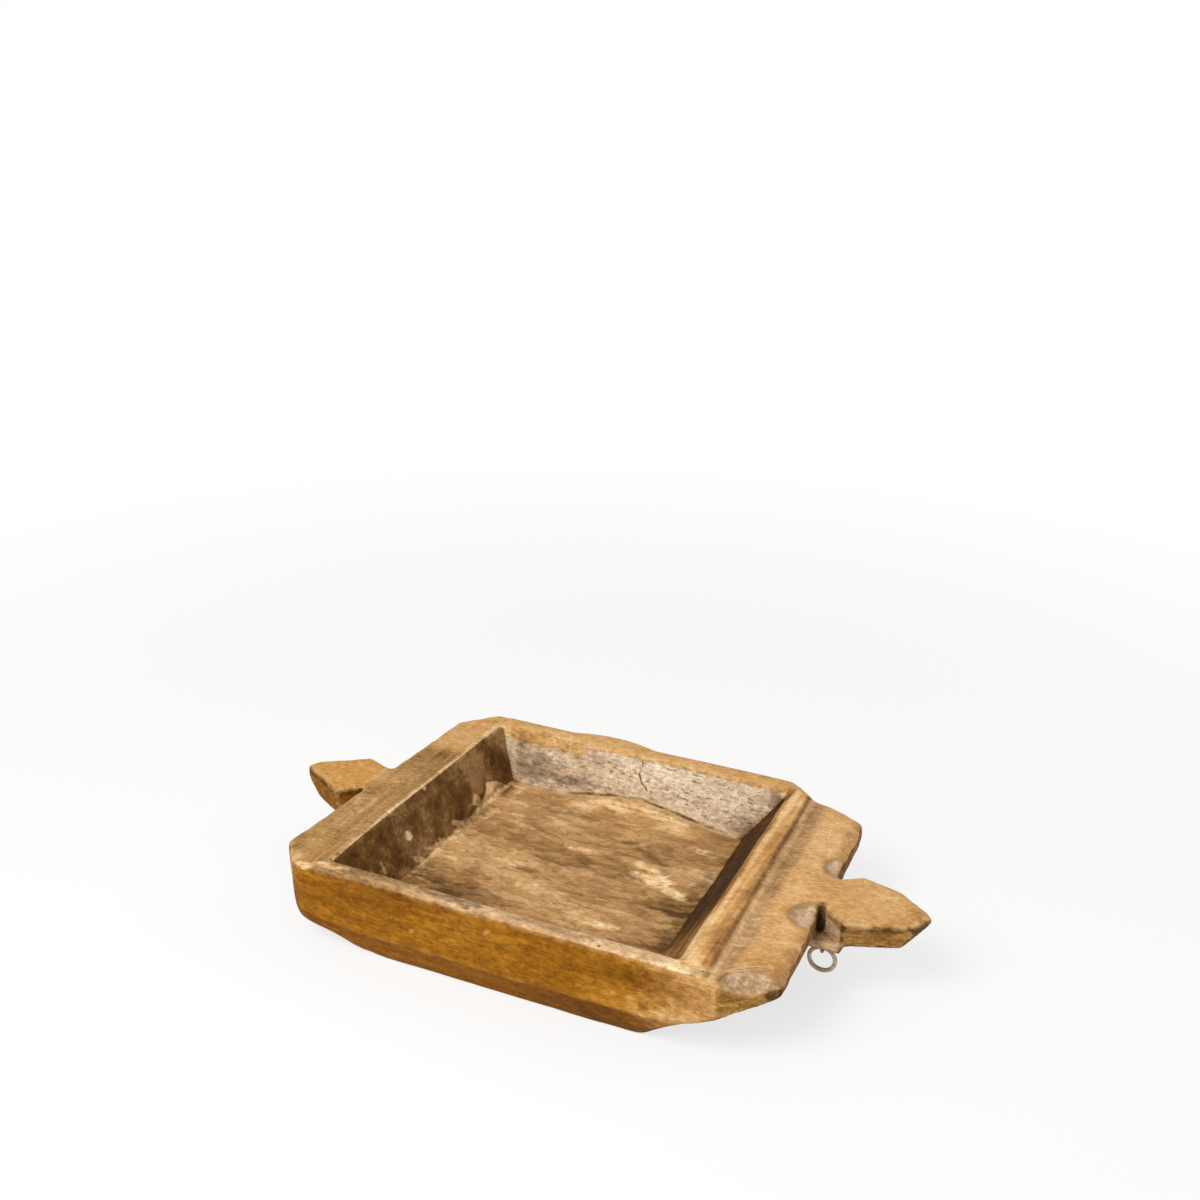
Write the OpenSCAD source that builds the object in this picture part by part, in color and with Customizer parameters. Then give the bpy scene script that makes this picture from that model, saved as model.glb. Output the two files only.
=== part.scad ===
// Hand-carved dough bowl, cut from one thick plank, with a lug at each end
// and a small iron ring that hangs from a staple under the right neck.
// +X runs along the grain, +Y runs away from the viewer and +Z is up.

/* [Hollow] */
// Length of the hollow at the rim, along its middle
hollow_l = 294.5; // [270:0.5:320]
// Width of the hollow at the rim
hollow_w = 271; // [240:0.5:290]
// Depth of the hollow below the rim
hollow_d = 49; // [36:0.5:54]
// How far the front wall leans in at the floor
lean_front = 17; // [6:0.5:26]
// How far the back wall leans in at the floor
lean_back = 18; // [6:0.5:26]
// How far the left wall leans in at the floor
lean_left = 23; // [8:0.5:40]
// How far the right wall leans in at the floor
lean_right = 39; // [12:0.5:50]
// Radius of the cove between the walls and the floor
cove_r = 9; // [4:0.5:14]
// How far the mouth flares at the worn lip
lip_flare = 2; // [1:0.25:3]
// Depth of the worn lip
lip_d = 3; // [1.5:0.25:4]
// Turn of the left wall, in degrees
hollow_turn_left = 2.4; // [0:0.1:4]
// Turn of the right wall, in degrees
hollow_turn_right = 1; // [0:0.1:4]

/* [Body] */
// Height from the base to the rim
body_h = 78; // [70:0.5:95]
// Width of the front rim
rim_front = 13.5; // [10:0.5:20]
// Width of the back rim
rim_back = 16.5; // [10:0.5:22]
// Height of the edge where the side face turns into the lower facet
facet_h = 27; // [16:0.5:34]
// How far the lower facet runs in to the base
facet_in = 12.5; // [8:0.5:22]
// Bevel along the outer edges of the rim
rim_bevel = 3.5; // [1:0.25:5]
// How far the swelling of the back rim stands out
swell_out = 7; // [3:0.5:10]
// Radius of the swelling
swell_r = 120; // [90:1:150]
// Distance of the swelling from the middle of the hollow, to the left
swell_x = 33; // [0:1:60]

/* [Ends] */
// Width of the raised bead right of the hollow
bead_right = 15.5; // [10:0.5:24]
// Width of the raised bead left of the hollow
bead_left = 5; // [4:0.5:14]
// Width of the groove outside the right bead
groove_w = 5; // [3:0.25:7]
// Width of the groove outside the left bead
groove_left_w = 3; // [2:0.25:5]
// Depth of the grooves below the rim
groove_d = 3.5; // [3:0.25:6]
// Width of the shallow hollow that runs beside the right groove
dish_w = 18; // [8:1:26]
// Depth of that hollow
dish_d = 1.5; // [0.5:0.25:3]
// How far the shoulders lie below the rim
shoulder_drop = 2; // [1:0.25:3]
// Width of the right shoulder, from the groove to its end
shoulder_right = 53; // [40:0.5:70]
// Width of the left shoulder, from the groove to its end
shoulder_left = 37; // [24:0.5:50]
// Turn of the right end, in degrees
end_turn_right = 2.2; // [0:0.1:5]
// Turn of the left end, in degrees
end_turn_left = 5; // [0:0.1:7]
// Thickness of the right shoulder at its end
end_t = 12; // [10:0.5:20]
// Distance from the base's right end to the knee in the rising underside
knee_run = 32; // [20:1:50]
// Height of that knee above the base
knee_h = 28; // [16:0.5:36]
// Length of the base right of the hollow's middle
base_right = 122; // [100:1:140]
// Length of the base left of the hollow's middle
base_left = 106; // [80:1:130]
// Height of the left end's lower edge above the base
left_rise = 17; // [8:0.5:26]
// How far the left end's wall leans out between its lower edge and the top
left_lean = 11; // [4:0.5:16]
// How far that wall's middle edge lies inside the top
left_knee = 3; // [1:0.5:6]
// Height of that middle edge above the base
left_knee_h = 38; // [30:0.5:46]

/* [Corners] */
// Length and depth of the front right corner's chamfer
cut_fr = [43, 17]; // [5:1:60]
// Length and depth of the back right corner's first chamfer
cut_br = [48, 19]; // [5:1:60]
// Length and depth of the chamfer that follows it along the back
cut_br_second = [30, 20]; // [5:1:40]
// Length and depth of the front left corner's chamfer
cut_fl = [22, 26]; // [5:1:40]
// Length and depth of the back left corner's chamfer
cut_bl = [27, 29]; // [5:1:40]

/* [Lugs] */
// Length of the right lug, from the end of the body
lug_right_l = 82; // [66:0.5:92]
// Length of the left lug, from the end of the body
lug_left_l = 70; // [55:0.5:85]
// How far the left lug's tip bends to the front
lug_left_bend = 8; // [0:0.5:12]
// Width of the right lug's neck, between its notches
neck_right_w = 37; // [28:0.5:46]
// Width of the left lug's neck, between its notches
neck_left_w = 35; // [28:0.5:46]
// How far the right lug spreads in front of and behind its neck
spread_right = [21.5, 14]; // [6:0.5:30]
// How far the left lug spreads in front of and behind its neck
spread_left = [18, 10]; // [6:0.5:30]
// Distance from neck to corner along the right lug, front and back
reach_right = [24, 19]; // [10:0.5:34]
// Distance from neck to corner along the left lug, front and back
reach_left = [20.5, 27]; // [10:0.5:34]
// Where the right lug's front side turns to its tip: distance from the tip, and from the middle
belly_front = [10, 20.5]; // [4:0.5:40]
// Where the right lug's back side bulges: distance from the tip, and from the middle
belly_back = [31, 24]; // [4:0.5:40]
// Where the left lug's back side turns to its tip: distance from the tip, and from the middle
belly_left = [7, 3]; // [1:0.5:30]
// Thickness of the right lug
lug_right_t = 22; // [18:0.5:28]
// Thickness of the left lug
lug_left_t = 26; // [18:0.5:30]
// Thickness of the right lug's tip
tip_right_t = 5; // [3:0.5:12]
// Thickness of the left lug's tip
tip_left_t = 13; // [3:0.5:18]
// Bevel along the lugs' top edges
lug_bevel = 1.5; // [1:0.25:5]
// How far the bottom of each lug stops short of its tip
tip_back = 19; // [10:0.5:28]
// Depth of the front right notch where it meets the body's end
notch_in = 3; // [1:0.25:8]
// Length of the cut that leads into the front right notch
notch_run = 40; // [28:0.5:48]
// Depth of the root under the right neck, below the lug's top
root_t = 28.5; // [26:0.5:34]
// Width of the root in front of and behind the lug's middle
root_w = [40, 33]; // [28:0.5:46]
// Thickness of the ledge that floors the front right notch
ledge_t = 7.5; // [6:0.25:10]

/* [Gouge cuts] */
// Radius of the sweep that the carver's gouge follows
gouge_sweep = 70; // [50:5:160]
// Radius of the gouge's own edge
gouge_edge = 16; // [10:1:24]
// Depth of the gouge cut at the right end
gouge_d = 3.5; // [1:0.25:5]
// How far that cut tips outward, in degrees
gouge_tip = 22; // [10:1:50]
// Radius of the round facet on the front right corner
facet_r = 34; // [24:1:50]
// Width of that facet, inward from the corner's chamfer
facet_w = 17; // [10:0.5:22]
// How far the facet falls toward the chamfer
facet_fall = 9.5; // [4:0.5:12]
// Radius of the round scoops beside the right notches
scoop_r = 40; // [30:1:60]
// Width of the scoop beside the front notch
scoop_front_w = 30; // [20:1:40]
// Width of the scoop beside the back notch
scoop_back_w = 26; // [16:1:36]

/* [Ring and staple] */
// Outer diameter of the ring
ring_d = 24.4; // [20:0.2:32]
// Thickness of the ring's iron
ring_wire = 3.6; // [2.4:0.1:4.4]
// Thickness of the staple's wire
staple_wire = 2.4; // [1.8:0.1:3]
// Clear play between the ring and each leg of the staple
leg_play = 0.6; // [0.4:0.05:1.2]
// Clear play between the ring and the staple's bow when the ring hangs
bow_play = 0.3; // [0.2:0.05:0.6]
// Clear space between the ring and the wood above it
wood_play = 0.9; // [0.6:0.05:2]
// Depth of each staple leg in the wood
leg_in = 6; // [4:0.25:6.5]
// Distance of the staple in front of the lug's middle
staple_y = 31; // [28:0.5:34]
// Distance of the staple from the root's outer side
staple_x = 15.5; // [13:0.5:20]

/* [Hidden] */
$fn = 64;
// Overrun of every cut
over = 1;
// Thickness of the leaves that a hull spans
leaf = 0.02;
// Steps in the curve of a cove
cove_steps = 6;
// Share of its slanted neck side by which a lug runs on into the body's end
sink_share = 0.3;

// The hollow's middle is at zero along both axes while the body is laid out
hx_r = hollow_l / 2;
hx_l = -hollow_l / 2;
hy_f = -hollow_w / 2;
hy_b = hollow_w / 2;
side_f = hy_f - rim_front;
side_b = hy_b + rim_back;
floor_z = body_h - hollow_d;
top_z = body_h - shoulder_drop;
groove_r = hx_r + bead_right + groove_w / 2;
groove_l = hx_l - bead_left - groove_left_w / 2;
end_r = groove_r + shoulder_right;
end_l = groove_l - shoulder_left;
tip_r = end_r + lug_right_l;
tip_l = end_l - lug_left_l;

// Where a line that starts at x0 on the middle line lies at y
function lean_x(x0, y, turn) = x0 - y * tan(turn);

// The turned ends
function right_x(y) = lean_x(end_r, y, end_turn_right);
function left_x(y) = lean_x(end_l, y, -end_turn_left);

// The lugs: neck front, corner front, turn front, tip, turn back, corner back, neck back
right_neck = [right_x(-neck_right_w / 2) - notch_in, right_x(neck_right_w / 2)];
left_neck = [left_x(-neck_left_w / 2), left_x(neck_left_w / 2)];
right_lug = [
    [right_neck[0], -neck_right_w / 2],
    [right_neck[0] + reach_right[0], -neck_right_w / 2 - spread_right[0]],
    [tip_r - belly_front[0], -belly_front[1]],
    [tip_r, 0],
    [tip_r - belly_back[0], belly_back[1]],
    [right_neck[1] + reach_right[1], neck_right_w / 2 + spread_right[1]],
    [right_neck[1], neck_right_w / 2]
];
left_lug = [
    [left_neck[0], -neck_left_w / 2],
    [left_neck[0] - reach_left[0], -neck_left_w / 2 - spread_left[0]],
    [tip_l, -lug_left_bend],
    [tip_l + belly_left[0], belly_left[1]],
    [left_neck[1] - reach_left[1], neck_left_w / 2 + spread_left[1]],
    [left_neck[1], neck_left_w / 2]
];

// The body seen from above, without its lugs
fr_y = side_f + cut_fr[1];
br_y = side_b - cut_br[1] - cut_br_second[1];
fl_y = side_f + cut_fl[1];
bl_y = side_b - cut_bl[1];
notch_y = right_lug[0][1] - notch_run;
body_plan = [
    [left_x(fl_y) + cut_fl[0], side_f],
    [right_x(fr_y) - cut_fr[0], side_f],
    [right_x(fr_y), fr_y],
    [right_x(notch_y), notch_y],
    right_lug[0],
    [right_lug[0][0], 0],
    right_lug[6],
    [right_x(br_y), br_y],
    [right_x(br_y) - cut_br[0], br_y + cut_br[1]],
    [right_x(br_y) - cut_br[0] - cut_br_second[0], side_b],
    [left_x(bl_y) + cut_bl[0], side_b],
    [left_x(bl_y), bl_y],
    [left_x(fl_y), fl_y]
];

// The body seen from the front: base, rising right end, deep left end
far_r = right_x(fr_y) + over;
far_l = left_x(fl_y) - over;
knee_x = base_right + knee_run;
body_front = [
    [-base_left, 0],
    [base_right, 0],
    [knee_x, knee_h],
    [far_r, top_z - end_t],
    [far_r, body_h],
    [far_l, body_h],
    [far_l, top_z],
    [far_l + left_knee, left_knee_h],
    [far_l + left_lean, left_rise]
];

// The body seen from its end: base, lower facets, side faces and bevelled rims
body_side = [
    [side_f + facet_in, 0],
    [side_b - facet_in, 0],
    [side_b, facet_h],
    [side_b, body_h - rim_bevel],
    [side_b - rim_bevel, body_h],
    [side_f + rim_bevel, body_h],
    [side_f, body_h - rim_bevel],
    [side_f, facet_h]
];

// A cove that joins a wall to the floor, as points from the wall to the floor
function cove(x_wall, x_top, x_floor, sign) =
    let (
        fall = atan2(hollow_d, sign * (x_floor - x_top)),
        back = cove_r * tan(fall / 2),
        cx = x_floor + sign * back
    )
    [for (i = [0 : cove_steps])
        let (a = fall * (1 - i / cove_steps))
        [cx - sign * cove_r * sin(a), floor_z + cove_r * (1 - cos(a))]];

// The hollow in section, from its left or front wall to its right or back wall
function hollow_section(lo, hi, lean_lo, lean_hi) = concat(
    [[lo - lip_flare - lip_flare * over / lip_d, body_h + over]],
    [[lo + lean_lo * lip_d / hollow_d, body_h - lip_d]],
    cove(lo, lo, lo + lean_lo, 1),
    [for (p = [cove_steps : -1 : 0]) cove(hi, hi, hi - lean_hi, -1)[p]],
    [[hi - lean_hi * lip_d / hollow_d, body_h - lip_d]],
    [[hi + lip_flare + lip_flare * over / lip_d, body_h + over]]
);

// Everything is moved so that the origin lies under the middle of the bowl
mid_x = (tip_r + tip_l) / 2;
mid_y = (side_f + side_b + swell_out) / 2;

// The staple and the ring hang from the root's underside
root_z = top_z - root_t;
root_x = right_lug[1][0];
pin_x = root_x - staple_x;
pin_y = -staple_y;
ring_r = ring_d / 2 - ring_wire / 2;
ring_top_z = root_z - wood_play - ring_wire / 2;
bow_z = ring_top_z - ring_wire / 2 - bow_play - staple_wire / 2;
leg_off = ring_wire / 2 + leg_play + staple_wire / 2;
leg_bend = leg_off;

module place() {
    translate([-mid_x, -mid_y, 0])
        children();
}

// Stands a profile drawn in x and z up as a body along y
module along_y(from, to) {
    translate([0, to, 0])
        rotate([90, 0, 0])
            linear_extrude(height = to - from)
                children();
}

// Lays a profile drawn in y and z along x
module along_x(from, to) {
    translate([from, 0, 0])
        rotate([90, 0, 90])
            linear_extrude(height = to - from)
                children();
}

// The block: where the three outlines of the body meet
module block() {
    intersection() {
        linear_extrude(height = body_h)
            polygon(body_plan);
        along_y(side_f - over, side_b + over)
            polygon(body_front);
        along_x(far_l - over, far_r + over)
            polygon(body_side);
    }
}

// The swelling of the back rim, a round-fronted boss that dies into the side
module swelling() {
    swell_y = side_b + swell_out - swell_r;
    foot = body_h - facet_h - rim_bevel;
    translate([-swell_x, swell_y, facet_h]) {
        cylinder(r1 = swell_r - swell_out, r2 = swell_r, h = foot / 2);
        translate([0, 0, foot / 2])
            cylinder(r = swell_r, h = foot / 2);
        translate([0, 0, foot])
            cylinder(r1 = swell_r, r2 = swell_r - rim_bevel, h = rim_bevel);
    }
}

// A lug's neck corner, carried on along its slanted side into the body's end
function sunk(points, i, next) = points[i] + (points[i] - points[next]) * sink_share;

// One leaf of a lug: its outline drawn in toward its middle, and cut off short of its tip
module lug_leaf(points, inset, z, tip_inset) {
    last = len(points) - 1;
    heart = [(points[0][0] + points[3][0]) / 2, 0];
    tip_x = max([for (p = points) abs(p[0])]) - tip_inset;
    translate([0, 0, z])
        linear_extrude(height = leaf)
            intersection() {
                polygon([for (i = [0 : last])
                    let (
                        p = points[i],
                        d = heart - p
                    )
                    i == 0 || i == last
                        ? sunk(points, i, i == 0 ? 1 : last - 1) + [0, sign(d[1]) * inset]
                        : p + d * inset / norm(d)]);
                square([tip_x * 2, side_b - side_f], center = true);
            }
}

// A kite-shaped lug with bevelled top edges and a slanted cut under its tip
module lug(points, thick, tip_t) {
    hull() {
        lug_leaf(points, lug_bevel, top_z - leaf, lug_bevel);
        lug_leaf(points, 0, top_z - lug_bevel, 0);
        lug_leaf(points, 0, top_z - tip_t, 0);
        lug_leaf(points, lug_bevel, top_z - thick, tip_back);
    }
}

// The root under the right neck, with the ledge that floors the front notch
module root() {
    inner = knee_x + (far_r - knee_x) * (root_z - knee_h) / (top_z - end_t - knee_h);
    flush = right_lug[0][0];
    along_y(-root_w[0], root_w[1])
        polygon([
            [inner - root_t / 2, root_z],
            [root_x, root_z],
            [root_x, root_z + ledge_t],
            [flush, root_z + ledge_t],
            [flush, top_z - end_t / 2],
            [inner - root_t / 2, top_z - end_t / 2]
        ]);
}

// One end wall of the hollow, with the whole space in front of it
module hollow_end(x, lean, turn, side) {
    translate([x, 0, 0])
        rotate([0, 0, turn])
            mirror([side > 0 ? 1 : 0, 0, 0])
                along_y(-hollow_w, hollow_w)
                    polygon(concat(
                        [[-lip_flare - lip_flare * over / lip_d, body_h + over]],
                        [[lean * lip_d / hollow_d, body_h - lip_d]],
                        cove(0, 0, lean, 1),
                        [[hollow_l * 2, floor_z], [hollow_l * 2, body_h + over]]
                    ));
}

// The hollow: the space where the cross section and both end walls meet
module hollow() {
    intersection() {
        along_x(hx_l - hollow_w, hx_r + hollow_w)
            polygon(hollow_section(hy_f, hy_b, lean_front, lean_back));
        hollow_end(hx_l, lean_left, -hollow_turn_left, -1);
        hollow_end(hx_r, lean_right, hollow_turn_right, 1);
    }
}

// A long gouge cut, centred on a point of the top, that tips to one side
module gouge(at, turn, tip) {
    translate([at[0], at[1], top_z])
        rotate([0, 0, turn])
            rotate([tip, 0, 0])
                translate([0, 0, gouge_sweep + gouge_edge - gouge_d])
                    rotate([90, 0, 0])
                        rotate_extrude()
                            translate([gouge_sweep, 0])
                                circle(r = gouge_edge);
}

// A round scoop in the top, as wide as given
module scoop(at, w) {
    sink = scoop_r - sqrt(scoop_r * scoop_r - w * w / 4);
    translate([at[0], at[1], top_z + scoop_r - sink])
        sphere(r = scoop_r);
}

// The round facet on the front right corner, part of a ball that lies outward and above
module corner_facet() {
    chord = norm([facet_w, facet_fall]);
    rise = sqrt(facet_r * facet_r - chord * chord / 4);
    out = rise * facet_fall / chord - facet_w / 2;
    up = rise * facet_w / chord - facet_fall / 2;
    turn = atan2(cut_fr[1], cut_fr[0]);
    corner = (body_plan[1] + body_plan[2]) / 2;
    translate([corner[0] + out * sin(turn), corner[1] - out * cos(turn), top_z + up])
        sphere(r = facet_r);
}

// The cuts at the right end: its front corner, its edge and both sides of the neck
module end_cuts() {
    corner_facet();
    end_y = (body_plan[2][1] * 4 + body_plan[3][1]) / 5;
    gouge([right_x(end_y), end_y], 90 + end_turn_right, gouge_tip);
    scoop([right_lug[0][0], right_lug[0][1] - scoop_front_w * 3 / 4], scoop_front_w);
    scoop([right_lug[6][0], right_lug[6][1] + scoop_back_w * 2 / 3], scoop_back_w);
}

// What lies above a shoulder, with the groove that parts it from the bead
module shoulder_cut(x, turn, side, width, dish) {
    far = shoulder_right * 2;
    translate([x, 0, 0])
        rotate([0, 0, turn])
            along_y(side_f * 2, side_b * 2)
                polygon(concat(
                    [
                        [-side * width / 2, body_h + over],
                        [-side * width / 2, body_h],
                        [0, body_h - groove_d]
                    ],
                    dish > 0
                        ? [[side * width / 2, top_z - dish_d / 2], [side * dish / 2, top_z - dish_d], [side * dish, top_z]]
                        : [[side * width / 2, top_z]],
                    [
                        [side * far, top_z],
                        [side * far, body_h + over]
                    ]
                ));
}

// The carved bowl
module bowl() {
    color("#b8864b")
        place()
            difference() {
                union() {
                    block();
                    swelling();
                    lug(right_lug, lug_right_t, tip_right_t);
                    lug(left_lug, lug_left_t, tip_left_t);
                    root();
                }
                hollow();
                shoulder_cut(groove_r, end_turn_right, 1, groove_w, dish_w);
                shoulder_cut(groove_l, -end_turn_left, -1, groove_left_w, 0);
                end_cuts();
                for (s = [-1, 1])
                    translate([pin_x, pin_y + s * leg_off, root_z - over])
                        cylinder(d = staple_wire, h = leg_in + over);
            }
}

// The wire staple, driven up into the root
module staple() {
    color("#8f7f6a")
        place()
            translate([pin_x, pin_y, 0]) {
                for (s = [-1, 1])
                    translate([0, s * leg_off, bow_z + leg_bend])
                        cylinder(d = staple_wire, h = root_z + leg_in - bow_z - leg_bend);
                translate([0, 0, bow_z + leg_bend])
                    rotate([90, 0, 90])
                        rotate([0, 0, 180])
                            rotate_extrude(angle = 180)
                                translate([leg_off, 0])
                                    circle(d = staple_wire);
            }
}

// The ring, hanging in the staple
module ring() {
    color("#b09a80")
        place()
            translate([pin_x, pin_y, ring_top_z - ring_r])
                rotate([90, 0, 0])
                    rotate_extrude()
                        translate([ring_r, 0])
                            circle(d = ring_wire);
}

bowl();
staple();
ring();
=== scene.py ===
"""Dresses the hand-carved dough bowl: its worn wood, the wire staple and the ring that hangs in it."""

import logging
from dataclasses import dataclass, field
from enum import Enum
from functools import cached_property

import bmesh
import bpy
import numpy as np
from mathutils import Matrix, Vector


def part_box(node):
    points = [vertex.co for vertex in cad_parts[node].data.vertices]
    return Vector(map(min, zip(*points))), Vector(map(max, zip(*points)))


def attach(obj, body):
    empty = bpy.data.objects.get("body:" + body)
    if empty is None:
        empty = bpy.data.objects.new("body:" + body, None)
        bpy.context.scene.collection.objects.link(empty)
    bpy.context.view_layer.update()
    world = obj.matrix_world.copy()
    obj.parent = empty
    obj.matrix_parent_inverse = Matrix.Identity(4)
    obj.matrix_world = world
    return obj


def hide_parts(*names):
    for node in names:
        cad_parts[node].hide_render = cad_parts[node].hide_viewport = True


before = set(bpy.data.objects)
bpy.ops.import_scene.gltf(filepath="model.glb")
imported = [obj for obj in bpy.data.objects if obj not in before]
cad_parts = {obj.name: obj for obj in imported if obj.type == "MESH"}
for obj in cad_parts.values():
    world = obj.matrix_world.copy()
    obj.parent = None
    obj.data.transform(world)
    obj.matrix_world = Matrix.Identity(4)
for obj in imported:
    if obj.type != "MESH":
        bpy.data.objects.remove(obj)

LOG = logging.getLogger("dough_bowl")
MM = 0.001
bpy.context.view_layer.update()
WHITE = (1.0, 1.0, 1.0, 1.0)
LATTICE_KEYS = (374761393, 668265263, 2246822519)
SEED_KEY = 3266489917
STIR_KEY = 1274126177
WORD = 0xFFFFFFFF

Triple = tuple[float, float, float]
Socket = bpy.types.NodeSocket


# ---- Numbers worked out as whole arrays


def lattice_value(cells: np.ndarray, seed: int) -> np.ndarray:
    """Gives each cell of a cubic lattice a repeatable random value.

    The three cell numbers are each multiplied by a large odd number and added, and the bits of
    the sum are stirred twice.

    Args:
        cells: Whole cell numbers, one row of three for each point.
        seed: Picks one of many lattices.

    Returns:
        One value from -1 to 1 for each row.
    """
    c = cells.astype(np.uint32)
    h = np.full(len(c), np.uint32((seed * SEED_KEY) & WORD))
    for i, key in enumerate(LATTICE_KEYS):
        h = h + c[:, i] * np.uint32(key)
    h = (h ^ (h >> np.uint32(13))) * np.uint32(STIR_KEY)
    h = h ^ (h >> np.uint32(16))
    return h.astype(np.float64) / (WORD / 2) - 1.0


def soft_noise(points: np.ndarray, cell: Triple, seed: int) -> np.ndarray:
    """Smooth noise: lattice values blended along each axis by 6t^5 - 15t^4 + 10t^3.

    Args:
        points: Places, in millimetres.
        cell: Size of a lattice cell along X, Y and Z, in millimetres.
        seed: Picks one of many lattices.

    Returns:
        One value from about -1 to 1 for each point.
    """
    p = points / np.asarray(cell)
    base = np.floor(p).astype(np.int64)
    f = p - base
    w = f * f * f * (f * (f * 6 - 15) + 10)
    total = np.zeros(len(points))
    for corner in np.ndindex(2, 2, 2):
        k = np.array(corner)
        total += np.prod(np.where(k == 1, w, 1 - w), axis=1) * lattice_value(base + k, seed)
    return total


def rough_noise(points: np.ndarray, cell: Triple, seed: int, layers: int = 3) -> np.ndarray:
    """Sums layers of soft noise, each with half the cell size and 0.6 of the height of the last.

    Args:
        points: Places, in millimetres.
        cell: Cell size of the first layer, in millimetres.
        seed: Picks the lattices.
        layers: Number of layers.

    Returns:
        One value from about -1 to 1 for each point.
    """
    heights = 0.6 ** np.arange(layers)
    total = np.zeros(len(points))
    for layer, height in enumerate(heights):
        total += height * soft_noise(points, tuple(np.asarray(cell) / 2**layer), seed + 17 * layer)
    return total / heights.sum()


def step(low: float, high: float, value: np.ndarray) -> np.ndarray:
    """Rises from 0 at low to 1 at high by 3t^2 - 2t^3, and falls where high is below low."""
    t = np.clip((value - low) / (high - low), 0.0, 1.0)
    return t * t * (3 - 2 * t)


def hump(value: np.ndarray, width: float) -> np.ndarray:
    """A bell: 1 where the value is 0, and e^-1 where it equals the width."""
    return np.exp(-((value / width) ** 2))


def unit(vector: np.ndarray) -> np.ndarray:
    """A vector brought to the length 1."""
    return vector / np.linalg.norm(vector)


# ---- Objects and meshes


def added(name: str, data: bpy.types.ID) -> bpy.types.Object:
    """Makes an object of some data and links it to the scene."""
    made = bpy.data.objects.new(name, data)
    bpy.context.scene.collection.objects.link(made)
    return made


def placed(name: str, data: bpy.types.ID, *columns: np.ndarray) -> bpy.types.Object:
    """Makes an object that stands turned.

    Args:
        name: The object's name.
        data: Its camera or light.
        columns: Its right, its up, its back and its place, in metres.

    Returns:
        The object.
    """
    made = added(name, data)
    turned = np.eye(4)
    turned[:3] = np.stack(columns, axis=1)
    made.matrix_world = Matrix(turned.tolist())
    return made


def shade_round(mesh: bpy.types.Mesh) -> None:
    """Shades a mesh smoothly across its edges."""
    mesh.polygons.foreach_set("use_smooth", np.ones(len(mesh.polygons), dtype=bool))


@dataclass
class Skin:
    """The points and edges of a mesh as arrays in millimetres, with averages over neighbours."""

    mesh: bpy.types.Mesh
    points: np.ndarray = field(init=False)
    edges: np.ndarray = field(init=False)
    degree: np.ndarray = field(init=False)

    def __post_init__(self) -> None:
        """Reads the mesh."""
        co = np.empty(len(self.mesh.vertices) * 3)
        self.mesh.vertices.foreach_get("co", co)
        self.points = co.reshape(-1, 3) / MM
        ends = np.empty(len(self.mesh.edges) * 2, dtype=np.int32)
        self.mesh.edges.foreach_get("vertices", ends)
        self.edges = ends.reshape(-1, 2)
        self.degree = np.maximum(np.bincount(self.edges.ravel(), minlength=len(self.points)), 1)

    def mean(self, values: np.ndarray) -> np.ndarray:
        """Averages a value over each point's neighbours.

        Args:
            values: One number, or one row of numbers, for each point.

        Returns:
            The averages, in the shape of the values.
        """
        flat = values.reshape(len(values), -1)
        a, b = self.edges.T
        total = [
            np.bincount(a, column[b], len(flat)) + np.bincount(b, column[a], len(flat))
            for column in flat.T
        ]
        return (np.stack(total, axis=1) / self.degree[:, None]).reshape(values.shape)

    def smooth(self, rounds: int, share: np.ndarray | float = 0.5, back: float = 0.0) -> None:
        """Evens the surface: each round moves a point toward its neighbours' mean, then back out.

        Args:
            rounds: Number of rounds.
            share: How far a point goes toward the mean.
            back: How far it goes back out, so that the form doesn't shrink.
        """
        weight = share if np.isscalar(share) else share[:, None]
        for _ in range(rounds):
            self.points += weight * (self.mean(self.points) - self.points)
            if back:
                self.points -= back * (self.mean(self.points) - self.points)

    def blur(self, values: np.ndarray, rounds: int) -> np.ndarray:
        """Spreads a value over the surface, one ring of neighbours a round."""
        for _ in range(rounds):
            values = 0.5 * values + 0.5 * self.mean(values)
        return values

    def bulge(self, normals: np.ndarray) -> np.ndarray:
        """How far each point stands out from its neighbours' mean, along its normal."""
        return -np.einsum("ij,ij->i", self.mean(self.points) - self.points, normals)

    def normals(self) -> np.ndarray:
        """Writes the points to the mesh and reads its outward normals."""
        self.store()
        n = np.empty(len(self.points) * 3)
        self.mesh.vertex_normals.foreach_get("vector", n)
        return n.reshape(-1, 3)

    def store(self) -> None:
        """Writes the points to the mesh."""
        self.mesh.vertices.foreach_set("co", (self.points * MM).ravel())
        self.mesh.update()

    def attach(self, name: str, values: np.ndarray) -> None:
        """Keeps a number for each point as an attribute that the material reads."""
        layer = self.mesh.attributes.new(name, "FLOAT", "POINT")
        layer.data.foreach_set("value", np.clip(values, 0.0, 1.0).astype(np.float32))


# ---- Node materials


def linear(shade: str) -> tuple[float, ...]:
    """Turns a written colour such as 'c8a87e' into the renderer's linear colour, by the sRGB curve."""
    parts = np.array([int(shade[i:i + 2], 16) for i in (0, 2, 4)]) / 255.0
    low = parts / 12.92
    high = ((parts + 0.055) / 1.055) ** 2.4
    return (*np.where(parts <= 0.04045, low, high).tolist(), 1.0)


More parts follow.
